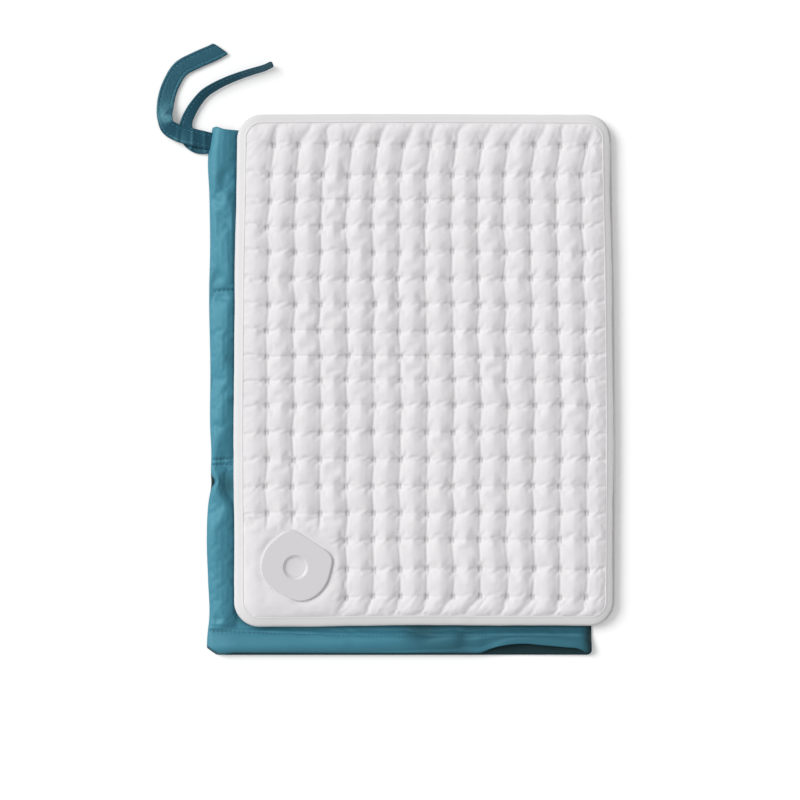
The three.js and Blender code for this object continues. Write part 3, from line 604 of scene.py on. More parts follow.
def ring_piece(name, rings, finish, capped=False):
    """A closed object through rings of points: its last ring joins its first, or both are filled."""
    rings = np.asarray(rings)
    loops = np.arange(rings.shape[0] * rings.shape[1]).reshape(rings.shape[:2])
    if capped:
        faces = tube_faces(loops)
    else:
        faces = np.concatenate([band(low, high) for low, high in zip(loops, np.roll(loops, -1, axis=0))])
    return piece_of(name, rings.reshape(-1, 3), faces, finish)


def cloth_piece(name, upper, lower, finish, kept=None, inner=None):
    """A closed sheet between an upper and a lower grid of points, with an edge round it and round any hole.

    Inner says how much painted shade each point of the upper and of the lower grid carries; the finish
    darkens and roughens the satin by that much.
    """
    rows, columns = upper.shape[:2]
    quads = grid_quads(rows, columns)
    if kept is not None:
        quads = quads[kept]
    under = rows * columns
    walls = [np.stack([loop, loop + under, np.roll(loop, -1) + under, np.roll(loop, -1)], -1)
             for loop in open_edges(quads)]
    faces = np.concatenate([quads, quads[:, ::-1] + under, *walls])
    points = np.concatenate([upper.reshape(-1, 3), lower.reshape(-1, 3)])
    used, faces = np.unique(faces, return_inverse=True)
    piece = piece_of(name, points[used], faces.reshape(-1, 4), finish)
    if inner is not None:
        marks = np.stack([np.broadcast_to(side, (rows, columns)) for side in inner]).ravel()
        mark(piece, "inner", marks[used])
    return piece


def settle(points, holds, pressure, slack):
    """A grid of points after a cloth simulation: slack cloth, held here and there, pushed up by a filling."""
    scale, frames, farthest = 10.0, 14, 0.004
    rows, columns = points.shape[:2]
    mesh = bpy.data.meshes.new("trial_cloth")
    start = points.reshape(-1, 3)
    mesh.from_pydata((start * scale).tolist(), [], grid_quads(rows, columns).tolist())
    trial = bpy.data.objects.new("trial_cloth", mesh)
    bpy.context.scene.collection.objects.link(trial)
    held = trial.vertex_groups.new(name="held")
    weights = np.round(holds.ravel(), 2)
    for weight in np.unique(weights[weights > 0]):
        held.add(np.flatnonzero(weights == weight).tolist(), float(weight), "REPLACE")
    cloth = trial.modifiers.new("cloth", "CLOTH")
    cloth.settings.quality = 5
    cloth.settings.mass = 0.1
    cloth.settings.air_damping = 2
    cloth.settings.tension_stiffness = 15
    cloth.settings.compression_stiffness = 15
    cloth.settings.shear_stiffness = 5
    cloth.settings.bending_stiffness = 0.3
    cloth.settings.vertex_group_mass = held.name
    cloth.settings.use_pressure = True
    cloth.settings.uniform_pressure_force = pressure
    cloth.settings.shrink_min = -slack
    cloth.settings.effector_weights.gravity = 0
    cloth.collision_settings.use_collision = False
    cloth.point_cache.frame_start = 1
    cloth.point_cache.frame_end = frames
    scene = bpy.context.scene
    for step in range(1, frames + 1):
        scene.frame_set(step)
    settled = trial.evaluated_get(bpy.context.evaluated_depsgraph_get())
    places = np.empty(len(start) * 3, np.float32)
    settled.data.vertices.foreach_get("co", places)
    scene.frame_set(1)
    bpy.data.objects.remove(trial)
    bpy.data.meshes.remove(mesh)
    moved = places.reshape(-1, 3).astype(float) / scale - start
    reach = np.linalg.norm(moved, axis=1, keepdims=True)
    moved *= np.minimum(1, farthest / np.maximum(reach, 1e-9))
    return (start + moved).reshape(points.shape)


def stitches(name, route, ups, settings, finish):
    """A row of short thread stitches along a route of points, lying on the side that ups point to."""
    route, ups = np.array(route), np.array(ups)
    along = run_along(route)
    pitch = settings.stitch + settings.stitch_gap
    sides, swell = 6, np.array([0.35, 0.9, 1.0, 0.9, 0.35])
    arch, sunk = 0.3, 0.1
    shares = np.linspace(0, 1, len(swell))
    points, faces = [], []
    for begin in np.arange(pitch / 2, along[-1] - pitch, pitch):
        places = begin + settings.stitch * shares
        line = np.stack([np.interp(places, along, route[:, k]) for k in range(3)], -1)
        up = np.array([np.interp(begin, along, ups[:, k]) for k in range(3)])
        side = unit(np.cross(up, line[-1] - line[0]))
        faces.extend(tube_faces(len(points) + np.arange(len(swell) * sides).reshape(-1, sides)))
        for place, size, lift in zip(line, swell, np.sin(np.pi * shares)):
            middle = place + up * settings.thread * (arch * lift - sunk)
            for angle in math.tau * np.arange(sides) / sides:
                reach = side * math.cos(angle) + up * math.sin(angle)
                points.append(middle + reach * settings.thread / 2 * size)
    return piece_of(name, points, faces, finish)


# The quilted pad

def settings_of():
    """Everything that is set in this scene."""
    return bpy.context.scene.heating_pad


def quilt_stops(quilt):
    """Where the weld columns and rows are, with the quilted face's edges before and after them."""
    stops = []
    for low, high, shift in ((PAD_LOW.x, PAD_HIGH.x, quilt.shift), (PAD_LOW.y, PAD_HIGH.y, 0)):
        count = math.floor((high - low - 2 * quilt.margin) / quilt.pitch) + 1
        places = (low + high) / 2 + shift + (np.arange(count) - (count - 1) / 2) * quilt.pitch
        stops.append(np.array([low + quilt.inset, *places, high - quilt.inset]))
    return stops


def nearness(values, stops):
    """0 on a stop, rising to 1 midway between two."""
    cell = np.clip(np.searchsorted(stops, values, "right") - 1, 0, len(stops) - 2)
    along = (values - stops[cell]) / (stops[cell + 1] - stops[cell])
    return 1 - np.abs(2 * np.clip(along, 0, 1) - 1)


def clear_of_hub(x, y):
    """0 on the plain corner that the hub is set in, rising to 1 where the quilting is whole."""
    plain, blend = 0.026, 0.013
    over_x = np.maximum(x - (HUB_X + plain), 0)
    over_y = np.maximum(y - (HUB_Y + plain), 0)
    return ease(np.hypot(over_x, over_y) / blend)


def hub_reach(angle, hub, set_in=0.0):
    """How far the hub's outline is from its centre: a disc with two flats, the longer one with round ends."""
    rounding = 8
    off = np.arccos(np.cos(angle - hub.flat_angle))
    to_side = np.cos(np.maximum(hub.spread - off, 0)) / (hub.radius - set_in)
    to_flat = np.abs(np.cos(off)) / (hub.flat - set_in)
    return (to_side**rounding + to_flat**rounding) ** (-1 / rounding)


def border_share(x, y, columns, rows, quilt):
    """0 at the quilted face's border, rising evenly to 1 a little way in."""
    width = 0.011
    low, high = (columns[0], rows[0]), (columns[-1], rows[-1])
    return np.clip(edge_distance(x, y, low, high, quilt.corner - quilt.inset) / width, 0, 1)


def quilt_swell(x, y, columns, rows, quilt):
    """The puffs between the welds, from 0 at a weld to 1 on a crown."""
    valley_curve, row_curve, ridge_curve = 1.4, 2.0, 1.8
    lean_change, lean_size = 0.7, 0.019
    past_rows = np.maximum(y - rows[-2], 0) + np.minimum(y - rows[1], 0)
    lean = quilt.lean * (1 + lean_change * ripple(x, y, lean_size, 11))
    across = nearness(np.clip(x - lean * past_rows, columns[0], columns[-1]), columns)
    along = nearness(y, rows)
    into_valley, into_row = (1 - across) ** valley_curve, (1 - along) ** row_curve
    valley = quilt.valley * (1 - (1 - along) ** 2)
    ridge = quilt.ridge * (1 - (1 - across) ** ridge_curve)
    swell = 1 - into_valley * (1 - valley) - into_row * (1 - ridge) + into_valley * into_row
    return swell * (1 - (1 - border_share(x, y, columns, rows, quilt)) ** 2)


# How the pad lies out of true, in millimetres: how far its sides bow out at places along it, and how much
# higher its upper and its lower edge are at places across it.
SIDE_BOW = ((-206, -0.6), (-138, -0.1), (-42, 0.7), (54, 0.45), (158, -0.9), (206, -1.4))
UPPER_RISE = ((-152, -0.7), (-99, -0.1), (0, 0), (94, -0.4), (152, -0.9))
LOWER_RISE = ((-152, -1.2), (-99, -1.1), (0, 0), (94, -0.4), (152, -0.6))


def out_of_true(x, y, quilt):
    """Places on the pad's fabric as it lies: a little to the right, with bowed sides and uneven ends."""
    half = (PAD_HIGH.x - PAD_LOW.x) / 2
    upward = np.clip((y - PAD_LOW.y) / (PAD_HIGH.y - PAD_LOW.y), 0, 1)
    rise = course(UPPER_RISE, x) * upward**4 + course(LOWER_RISE, x) * (1 - upward) ** 4
    outward = (x - PAD_LOW.x) / half - 1
    return x + quilt.aside + course(SIDE_BOW, y) * outward, y + rise


# How the quilting has been drawn out of true, in millimetres: a place along the pad, how far the welds there
# have moved to the right at the pad's left and right side, and how far they have moved down.
DRIFT = (
    (-181, 0.6, 0.6, 2.0), (-160, 0.4, 0.4, 1.4), (-139, -0.1, 0.0, -0.9), (-85, 0.4, 0.4, -0.6),
    (-32, 1.2, 0.7, -1.4), (-11, 1.2, 0.1, -0.2), (11, 1.1, -0.5, 1.6), (32, 1.0, -1.0, 2.8),
    (96, 0.9, -2.1, 3.0), (150, 1.2, -1.8, 3.9), (160, 2.3, -1.4, 4.3), (181, 3.6, 1.6, 1.2),
)


def weld_shift(x, y):
    """How far welds are off the lattice, across and along."""
    places, left, right, down = np.array(DRIFT).T / 1000
    to_right = (x - PAD_LOW.x) / (PAD_HIGH.x - PAD_LOW.x)
    aside = np.interp(y, places, left) * (1 - to_right) + np.interp(y, places, right) * to_right
    return aside, -np.interp(y, places, down)


def weld_places(columns, rows):
    """Which crossings of the columns and rows are welded: all but those in the hub's corner."""
    x, y = np.meshgrid(columns[1:-1], rows[1:-1])
    return clear_of_hub(x, y) > 0.5


def simulated_quilt(columns, rows, quilt):
    """The quilted face as settled cloth, on a grid of even lines, and those lines."""
    step = quilt.pitch / 10
    across, along = even_lines(columns, step), even_lines(rows, step)
    x, y = np.meshgrid(across, along)
    draws = np.random.default_rng(5).normal(0, quilt.stray, (2, len(rows), len(columns)))
    draws[0] += quilt.alternate * np.where(np.arange(len(rows)) % 2, -1, 1)[:, None]
    draws[:, [0, -1]] = 0
    draws[:, :, [0, -1]] = 0
    weld_x, weld_y = np.meshgrid(columns[1:-1], rows[1:-1])
    for draw, shift in zip(draws, weld_shift(weld_x, weld_y)):
        draw[1:-1, 1:-1] += shift
    strays = finer(np.stack(draws, -1), (columns, rows), (across, along))
    whole = clear_of_hub(x, y)
    swell = quilt_swell(x, y, columns, rows, quilt)
    uneven = 1 + 0.14 * ripple(x, y, 0.026, 3) + 0.12 * ripple(x, y, 0.0105, 4)
    inside = border_share(x, y, columns, rows, quilt)
    from_side = np.minimum(x - columns[0], columns[-1] - x)
    side_flat, side_blend = 0.004, 0.014
    flatter = 1 - quilt.side_fall * fade(from_side - side_flat, side_blend)
    # The filling's pressure gives the puffs the rest of their height.
    before_pressure = 0.90
    landing_curve, plain = 1.5, 0.12
    height = PANEL_BASE + quilt.weld + quilt.border * (1 - ease(inside))
    height += quilt.crown * before_pressure * swell * uneven * whole * flatter
    height += quilt.landing * (1 - whole) * (1 - (1 - inside) ** landing_curve)
    low, high = (columns[0], rows[0]), (columns[-1], rows[-1])
    plane = np.dstack(round_corners(x, y, low, high, quilt.corner - quilt.inset)) + strays
    holds = np.zeros(x.shape)
    columns_at = np.searchsorted(across, columns[1:-1] - step / 2)
    rows_at = np.searchsorted(along, rows[1:-1] - step / 2)
    holds[np.ix_(rows_at, columns_at)] = weld_places(columns, rows)
    holds[whole < plain] = 1
    holds[[0, -1]] = 1
    holds[:, [0, -1]] = 1
    return settle(np.dstack([plane, height]), holds, quilt.pressure, quilt.slack), (across, along)


def nearest_offset(values, stops):
    """How far each value is past its nearest stop, and that stop's number."""
    number = np.abs(values[:, None] - stops[None, :]).argmin(axis=1)
    return values - stops[number], number


def crease_depths(across, along, columns, rows, quilt):
    """How deep the face is creased along each row of welds: most creases climb first and then run level."""
    # What is drawn for each crease: how deep it is, how far it climbs and where its gap is.
    least, most = (0.1, 0.0, 0.30), (1.0, 0.0030, 0.70)
    width, gap_depth, gap_width, climb_curve, end_curve = 0.0009, 0.8, 0.13, 0.7, 0.4
    rng = np.random.default_rng(21)
    cells = len(columns) - 1
    cell = np.clip(np.searchsorted(columns, across, "right") - 1, 0, cells - 1)
    t = np.clip((across - columns[cell]) / (columns[cell + 1] - columns[cell]), 0.02, 0.98)
    depth = np.zeros((len(along), len(across)))
    for row in rows[1:-1]:
        deep, climb, gap_at = rng.uniform(least, most, (cells, 3))[cell].T
        gap = gap_depth * bell(t - gap_at, gap_width)
        if abs(row - quilt.fold_line) < quilt.pitch / 2:
            # The crease that the fold has left is deep and straight, and has hardly a gap.
            deep, climb, gap = deep * 0.5 + 0.8, climb * 0.3, gap * 0.3
        path = row + climb * np.sin(np.pi * t**climb_curve)
        apart = along[:, None] - path[None, :]
        depth += deep * np.sin(np.pi * t) ** end_curve * (1 - gap) * bell(apart, width)
    return quilt.crease * depth


def wrinkle_depths(across, along, columns, rows, quilt):
    """How deep the wrinkles are that slant from the outer rows of welds to the short edges."""
    x, y = np.meshgrid(across, along)
    rng = np.random.default_rng(23)
    depth = np.zeros(x.shape)
    inner, width, stray, to_a_pitch = 0.6, 0.0011, 0.004, 2.4
    for weld_row, border in ((rows[-2], rows[-1]), (rows[1], rows[0])):
        outward = (y - weld_row) / (border - weld_row)
        shown = np.sin(np.pi * np.clip((outward + inner) / (1 + inner), 0, 1))
        for place in np.arange(columns[0], columns[-1], quilt.pitch / to_a_pitch):
            start = place + rng.uniform(-stray, stray)
            lean = quilt.lean * rng.uniform(0.7, 1.6)
            apart = x - start - lean * (y - weld_row)
            depth += rng.uniform(0.1, 1) * bell(apart, width) * shown
    return quilt.wrinkle * depth


def quilted_face(quilt, hub):
    """The quilted face as a fine grid of points, and each point's share of the welds' imprints, which the
    finish darkens with painted shade and makes smoother.
    """
    columns, rows = quilt_stops(quilt)
    settled, lines = simulated_quilt(columns, rows, quilt)
    across, along = close_lines(columns), close_lines(rows)
    face = finer(settled, lines, (across, along))
    inside = border_share(face[..., 0], face[..., 1], columns, rows, quilt)
    face[..., 0], face[..., 1] = out_of_true(face[..., 0], face[..., 1], quilt)
    whole = clear_of_hub(*np.meshgrid(across, along))

    # A weld's imprint is a shallow pit with a deeper bar along each side of it.
    pit_width, pit_length = 0.0018, 0.0025
    bar_at, bar_width, bar_length = 0.00110, 0.00046, 0.0022
    off_x, column = nearest_offset(across, columns[1:-1])
    off_y, row = nearest_offset(along, rows[1:-1])
    welded = weld_places(columns, rows)[np.ix_(row, column)]
    off_x, off_y = np.abs(off_x)[None, :], np.abs(off_y)[:, None]
    pit = bell(off_x, pit_width, 4) * bell(off_y, pit_length, 4) * welded
    bars = bell(off_x - bar_at, bar_width) * bell(off_y, bar_length, 4) * welded
    sunk, flattened, bar_depth, pit_mark = 0.3, 0.5, 0.25, 0.3
    imprint = PANEL_BASE + quilt.weld - sunk * quilt.pinch
    face[..., 2] += (imprint - face[..., 2]) * flattened * pit - quilt.pinch * bar_depth * bars
    face[..., 2] -= crease_depths(across, along, columns, rows, quilt) * whole
    face[..., 2] -= wrinkle_depths(across, along, columns, rows, quilt) * whole
    fit_round_hub(face, 1 - whole, inside, hub)
    # The returned share paints shade into the pits and bars and makes the fabric smoother there.
    return face, np.clip(pit_mark * pit + bars, 0, 1)


def fit_round_hub(face, plain, inside, hub):
    """Lays the fabric against the hub: almost level with it at both flats, a little lower round the rest."""
    below, long_rise, short_rise, reach = 0.0020, 0.0014, 0.0012, 0.0065
    under, lap, drop = PANEL_BASE + 0.0026, 0.0016, 0.0010
    x, y = face[..., 0], face[..., 1]
    angle = np.arctan2(y - HUB_Y, x - HUB_X)
    from_hub = np.hypot(x - HUB_X, y - HUB_Y) - hub_reach(angle, hub)
    facing = np.cos(angle - hub.flat_angle)
    long_from, long_blend, short_from, short_blend = 0.72, 0.2, 0.80, 0.15
    long_flat = ease((facing - long_from) / long_blend)
    short_flat = ease((-facing - short_from) / short_blend)
    level = SHELL_HIGH.z - below + long_rise * long_flat + short_rise * short_flat
    near = (1 - np.clip(from_hub / reach, 0, 1)) ** 2
    off_border = ease(inside * 2)
    uneven = 0.0005 * ripple(x, y, 0.014, 8) + 0.0002 * ripple(x, y, 0.006, 9)
    z = face[..., 2] + uneven * plain * off_border
    z += (level - z) * near * off_border
    face[..., 2] = under + (z - under) * ease((from_hub + lap + drop) / drop)


def holed(points, quads, middle, radius):
    """Quads that are left round a hole, with the hole's edge drawn onto a circle."""
    apart = np.hypot(points[:, 0] - middle[0], points[:, 1] - middle[1])
    kept = (apart[quads] > radius).all(axis=1)
    hole = open_edges(quads[kept])[-1]
    stretch = (radius / apart[hole])[:, None]
    points[hole, :2] = middle + (points[hole, :2] - middle) * stretch
    return kept, hole


class PADQUILT_OT_top(bpy.types.Operator):
    """Makes the quilted upper panel as settled cloth between its welds"""

    bl_idname = "padquilt.top"
    bl_label = "Quilted panel"

    hole_radius = 0.0226
    flange = 0.001

    def execute(self, context):
        chosen = settings_of()
        quilt = chosen.quilt
        face, pressed_and_shaded = quilted_face(quilt, chosen.hub)
        points = face.reshape(-1, 3)
        quads = grid_quads(*face.shape[:2])
        kept, hole = holed(points, quads, np.array([HUB_X, HUB_Y]), self.hole_radius)
        rim = open_edges(quads[kept])[0]

        # The edge goes down beside the binding, out into it as a flange, and down to the flat underside.
        beside = points[rim, :2]
        outward = unit(beside - np.clip(beside, *corner_centres(quilt)))
        beyond = beside + outward * (quilt.inset - FLANGE_INSET)
        level = PANEL_BASE + self.flange
        rings = [at_level(beside, level), at_level(beyond, level), at_level(beyond, PANEL_BASE)]
        below_hole = at_level(points[hole, :2], PANEL_BASE)
        everything = np.concatenate([points, *rings, below_hole])
        loops = [rim, *(len(points) + np.arange(3 * len(rim)).reshape(3, -1))]
        hole_below = len(points) + 3 * len(rim) + np.arange(len(hole))
        faces = [*quads[kept]]
        for upper, lower in zip(loops, loops[1:]):
            faces.extend(band(lower, upper))
        faces.extend(band(hole_below, hole))

        # The underside goes from the flange's edge to the hole and faces down.
        outline = [[Vector(p) for p in rings[-1]], [Vector(p) for p in below_hole]]
        bottom = np.concatenate([loops[-1], hole_below])
        for triangle in tessellate_polygon(outline):
            a, b, c = (everything[bottom[k]] for k in triangle)
            facing_up = np.cross((b - a)[:2], (c - a)[:2]) > 0
            faces.append([bottom[k] for k in (triangle[::-1] if facing_up else triangle)])
        panel = self.made(everything, faces, pressed_and_shaded.ravel(), quilt_finish(quilt.colour))
        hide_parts("pad_top_panel")
        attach(panel, "pad")
        return {"FINISHED"}

    @staticmethod
    def made(points, faces, pressed_and_shaded, finish):
        """The panel without the points that no face uses, and with the welds' imprints marked for painted
        shade and a smoother finish.
        """
        faces = [np.asarray(face) for face in faces]
        used = np.unique(np.concatenate(faces))
        places = np.full(len(points), -1)
        places[used] = np.arange(len(used))
        panel = piece_of("quilted_panel", points[used], [places[face] for face in faces], finish)
        marks = np.zeros(len(points))
        marks[: len(pressed_and_shaded)] = pressed_and_shaded
        mark(panel, "pressed_and_shaded", marks[used])
        return panel


def corner_centres(quilt):
    """The centres of the pad's round corners: the lowest and the highest place of them."""
    low = (PAD_LOW.x + quilt.corner, PAD_LOW.y + quilt.corner)
    high = (PAD_HIGH.x - quilt.corner, PAD_HIGH.y - quilt.corner)
    return low, high


def pad_outline(quilt):
    """Points round the pad's edge, counter-clockwise, and the way out at each."""
    centres, normals = [], []
    low, high = corner_centres(quilt)
    corners = [(high[0], high[1]), (low[0], high[1]), (low[0], low[1]), (high[0], low[1])]
    steps, run = 14, 0.003
    for quarter, (x, y) in enumerate(corners):
        for angle in math.pi / 2 * (quarter + np.arange(steps + 1) / steps):
            centres.append((x, y))
            normals.append((math.cos(angle), math.sin(angle)))
        after = corners[(quarter + 1) % 4]
        count = round(math.dist((x, y), after) / run)
        for t in np.arange(1, count) / count:
            centres.append((x + (after[0] - x) * t, y + (after[1] - y) * t))
            normals.append(normals[-1])
    centres, normals = np.array(centres), np.array(normals)
    return centres + normals * quilt.corner, normals


class PADQUILT_OT_binding(bpy.types.Operator):
    """Makes the folded tape round the pad's edge, with a ridge along its inner side"""

    bl_idname = "padquilt.binding"
    bl_label = "Edge binding"

    # How far inside the pad's edge, and how far above the tape's lowest point, in millimetres.
    section = (
        (8.0, 3.60), (7.95, 4.75), (7.65, 5.12), (7.30, 5.20), (6.95, 5.08), (6.55, 4.90), (6.20, 4.76),
        (5.80, 4.64), (5.20, 4.52), (4.20, 4.31), (3.20, 4.07), (2.20, 3.76), (1.30, 3.38), (0.65, 2.95),
        (0.20, 2.40), (0.0, 1.70), (0.20, 1.05), (0.75, 0.45), (1.60, 0.10), (3.0, 0.0), (5.5, 0.0),
        (7.4, 0.0), (8.0, 0.25), (8.0, 0.75), (0.9, 0.80), (0.9, 3.20), (4.0, 3.45),
    )

    def execute(self, context):
        quilt = settings_of().quilt
        outline, outward = pad_outline(quilt)
        x, y = outline.T
        wander = 0.00035 * ripple(x, y, 0.045, 31) + 0.00012 * ripple(x, y, 0.012, 32)
        rise = 0.00022 * ripple(x, y, 0.035, 33) + 0.00010 * ripple(x, y, 0.009, 34)
        # The tape's end is lapped over its start on the lower edge.
        lap_x, lap_length, lap_height, at_edge = 0.0376, 0.012, 0.00028, 0.001
        lapped = (y < PAD_LOW.y + at_edge) & (x < lap_x) & (x > lap_x - lap_length)
        # The tape slants outwards along the long edges and lies flatter along the short ones.
        slant, slant_width, wander_width = 0.0007, 0.0080, 0.012
        shoulder, shoulder_blend = 0.0025, 0.001
        rings = []
        for inset, height in np.array(self.section) / 1000:
            upper = ease((height - shoulder) / shoulder_blend)
            level = PAD_LOW.z + height + upper * (rise + np.where(lapped, lap_height, 0))
            level -= upper * slant * outward[:, 0] ** 2 * (1 - inset / slant_width)
            plane = outline + outward * (wander * (1 - inset / wander_width) - inset)[:, None]
            rings.append(np.column_stack([*out_of_true(*plane.T, quilt), level]))
        tape = ring_piece("binding_tape", rings[::-1], tape_finish(quilt.tape))
        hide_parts("edge_binding")
        run = float(np.linalg.norm(np.roll(outline, -1, axis=0) - outline, axis=1).sum())
        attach(tape, "pad")
        return {"FINISHED"}


class PADQUILT_OT_underside(bpy.types.Operator):
    """Makes the pad's cloth underside, drawn up a little at each weld"""

    bl_idname = "padquilt.underside"
    bl_label = "Pad underside"

    def execute(self, context):
        quilt = settings_of().quilt
        columns, rows = quilt_stops(quilt)
        cloth, slope, drawn_up, hole = 0.0008, 0.009, 0.0005, 0.0071
        low = (PAD_LOW.x + FLANGE_INSET, PAD_LOW.y + FLANGE_INSET)
        high = (PAD_HIGH.x - FLANGE_INSET, PAD_HIGH.y - FLANGE_INSET)
        across = np.array([low[0], *even_lines(columns, quilt.pitch / 8), high[0]])
        along = np.array([low[1], *even_lines(rows, quilt.pitch / 8), high[1]])
        x, y = np.meshgrid(across, along)
        flat_x, flat_y = round_corners(x, y, low, high, quilt.corner - FLANGE_INSET)
        inside = edge_distance(flat_x, flat_y, low, high, quilt.corner - FLANGE_INSET)
        drop = ease((inside - (quilt.inset - FLANGE_INSET)) / slope)
        rim = BACK_HIGH.z - cloth
        height = rim + (BACK_LOW.z - rim) * drop
        drawn = 1 - quilt_swell(x, y, columns, rows, quilt)
        height += drawn_up * drop * drawn**2 * clear_of_hub(x, y)
        lower = np.stack([*out_of_true(flat_x, flat_y, quilt), height], -1)
        kept = holed(lower.reshape(-1, 3), grid_quads(*x.shape), np.array([HUB_X, HUB_Y]), hole)[0]
        upper = lower + np.array([0, 0, cloth])
        back = cloth_piece("pad_underside", upper, lower, underside_finish(quilt.colour), kept)
        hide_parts("pad_back_panel")
        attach(back, "pad")
        return {"FINISHED"}


# The control hub

class PADQUILT_OT_hub(bpy.types.Operator):
    """Makes the hub's moulded shell and its push button"""

    bl_idname = "padquilt.hub"
    bl_label = "Control hub"

    angles = math.tau * np.arange(240) / 240

    def execute(self, context):
        hub = settings_of().hub
        self.shell(hub)
        self.button(hub)
        return {"FINISHED"}

    def rings(self, profile):
        """Level rings of points about the hub's centre, each with its own reach and height."""
        ways = np.stack([np.cos(self.angles), np.sin(self.angles)])
        return [at_level(np.array([HUB_X, HUB_Y]) + (reach * ways).T, height) for reach, height in profile]

    def shell(self, hub):
        def outline(set_in):
            return hub_reach(self.angles, hub, set_in)

        low, high = SHELL_LOW.z, SHELL_HIGH.z
        plate, wall, boss, foot, sliver = high - 0.0020, 0.0016, 0.0224, low + 0.0005, 0.0001
        profile = [(outline(sliver), low)]
        for quarter in np.linspace(0, math.pi / 2, 9):
            set_in = hub.edge * (1 - math.cos(quarter))
            profile.append((outline(set_in), foot + (high - foot) * math.sin(quarter)))
        edge, well, floor = outline(hub.edge), hub.well / 2, hub.well_floor / 2
        for t in (0.03, 0.3, 0.6, 0.97):
            profile.append((edge + (well + hub.well_edge - edge) * t, high))
        for quarter in np.linspace(0, math.pi / 2, 5):
            reach = well + hub.well_edge * (1 - math.sin(quarter))
            profile.append((reach, high - hub.well_edge * (1 - math.cos(quarter))))
        depth = high - hub.well_edge - BUTTON_HIGH.z
        for t in np.linspace(1, 0, 12)[1:]:
            profile.append((floor + (well - floor) * t, BUTTON_HIGH.z + depth * t**hub.well_curve))
        profile += [(floor, plate), (boss, plate)]
        profile += [(outline(wall + hub.edge / 2), plate - sliver), (outline(wall), low)]
        shell = ring_piece("hub_plate", self.rings(profile), moulding_finish("hub_plastic", hub.colour))
        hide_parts("hub_shell")
        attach(shell, "pad")

    def button(self, hub):
        top, base = BUTTON_HIGH.z, BUTTON_LOW.z
        cap, retainer, stem = hub.well_floor / 2 - hub.gap, (BUTTON_HIGH.x - BUTTON_LOW.x) / 2, 0.0016
        ledge, retainer_base, round_edge = top - 0.0009, top - 0.0019, 0.00006
        profile = [
            (stem * 0.5, base),
            (stem, base + 0.0002),
            (stem, retainer_base),
            (retainer, retainer_base),
            (retainer, ledge),
            (cap, ledge),
        ]
        face = cap - round_edge
        for quarter in np.linspace(0, math.pi / 2, 5):
            reach = cap - round_edge * (1 - math.cos(quarter))
            profile.append((reach, top - round_edge * (1 - math.sin(quarter))))
        for t in (0.93, 0.85, 0.7, 0.5, 0.3, 0.1):
            profile.append((face * t, top - hub.dish * (1 - t**2) * min((1 - t) * 6, 1)))
        finish = moulding_finish("button_plastic", hub.button, rough=0.36)
        button = ring_piece("push_button", self.rings(profile), finish, capped=True)
        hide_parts("button")
        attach(button, "button")


# The cover and its ties

# Where seams cross the cover, as places along Y beside the pad, and how they slant.
COVER_SEAMS = (0.0634, -0.0730, -0.0773)
SEAM_SLANT = 0.04

# How wide the cover's margins are that have close lines.
FINE_MARGIN = 0.032

# How wide the step at the hem's inner edge is: in the swelling, and in the cloth itself.
HEM_BLEND, HEM_EDGE = 0.007, 0.0009

# Where across its free margin the cover is highest, as a share of that margin: at places along the left side,
# and at places along the mouth, in millimetres.
LEFT_PEAK = (
    (-210, 450), (-195, 500), (-165, 420), (-130, 320), (-112, 550), (-95, 250), (-55, 320), (-30, 520),
    (-10, 650), (10, 560), (30, 640), (62, 680), (80, 740), (95, 800), (130, 750), (145, 450), (166, 280),
    (194, 250),
)
MOUTH_PEAK = ((-172, 300), (-110, 340), (-60, 420), (0, 520), (60, 680), (134, 700))

# Hollows in the cover's free margins: where, how wide across and along, and how deep, in millimetres.
HOLLOWS = (
    (-165.6, -202.4, 3.2, 4.5, 1.8), (-151.5, -94.5, 11.0, 12.0, 4.8), (-167.0, -48.0, 4.0, 4.0, 1.3),
    (-162.0, 57.0, 5.0, 4.0, 1.3), (-166.0, 74.0, 6.0, 4.0, 1.5), (-161.0, 151.0, 4.0, 11.0, 2.0),
    (-54.5, -222.0, 2.0, 7.0, 1.6), (1.0, -213.0, 11.0, 8.0, 3.2), (34.0, -214.0, 6.0, 9.0, 2.6),
    (49.0, -221.0, 1.8, 6.0, 0.8),
)

# How far the mouth gapes at places along the lower edge, as a share, and how far the cover's left edge strays
# in from its outline at places along it, in millimetres.
MOUTH_GAPE = (
    (40, 0), (46.5, 60), (52, 380), (57.5, 640), (67, 880), (79, 1000), (96, 840), (114, 620), (126, 420),
    (130.5, 120), (134, 0),
)
LEFT_EDGE = (
    (-229, -1.0), (-215, -0.5), (-200, 1.0), (-170, -0.1), (-136, -1.3), (-108, -0.1), (-94, 2.0),
    (-84, 1.7), (-70, 2.0), (-48, 1.0), (0, 0.9), (60, -0.4), (100, 0.2), (140, -0.6), (175, -1.5),
    (188, 0.5), (194.5, 1.7),
)


def seam_nearness(x, y, width):
    """1 on a seam that crosses the cover's free left margin, falling to 0 beside it."""
    runs_under, blend = 0.006, 0.004
    past_pad = x - PAD_LOW.x
    near = [bell(y - seam - SEAM_SLANT * past_pad, width) for seam in COVER_SEAMS]
    return np.max(near, axis=0) * fade(past_pad - runs_under, blend)


def hem_line(x):
    """Where the hem's inner edge runs along the mouth, as places along Y."""
    return np.interp(x, (COVER_LOW.x, -0.060, COVER_HIGH.x), (-0.2078, -0.2116, -0.2120))


def below_hem(x, y, width):
    """0 above the hem's inner edge and 1 below it, with a smooth step of that width."""
    return ease((hem_line(x) - y) / width + 0.5)


def swelling(inset, peak):
    """An arch from 0 at a margin's sides to 1 where it peaks, with inset and peak as shares of the margin."""
    return np.sin(np.pi * np.clip(inset, 0, 1) ** (np.log(0.5) / np.log(peak)))


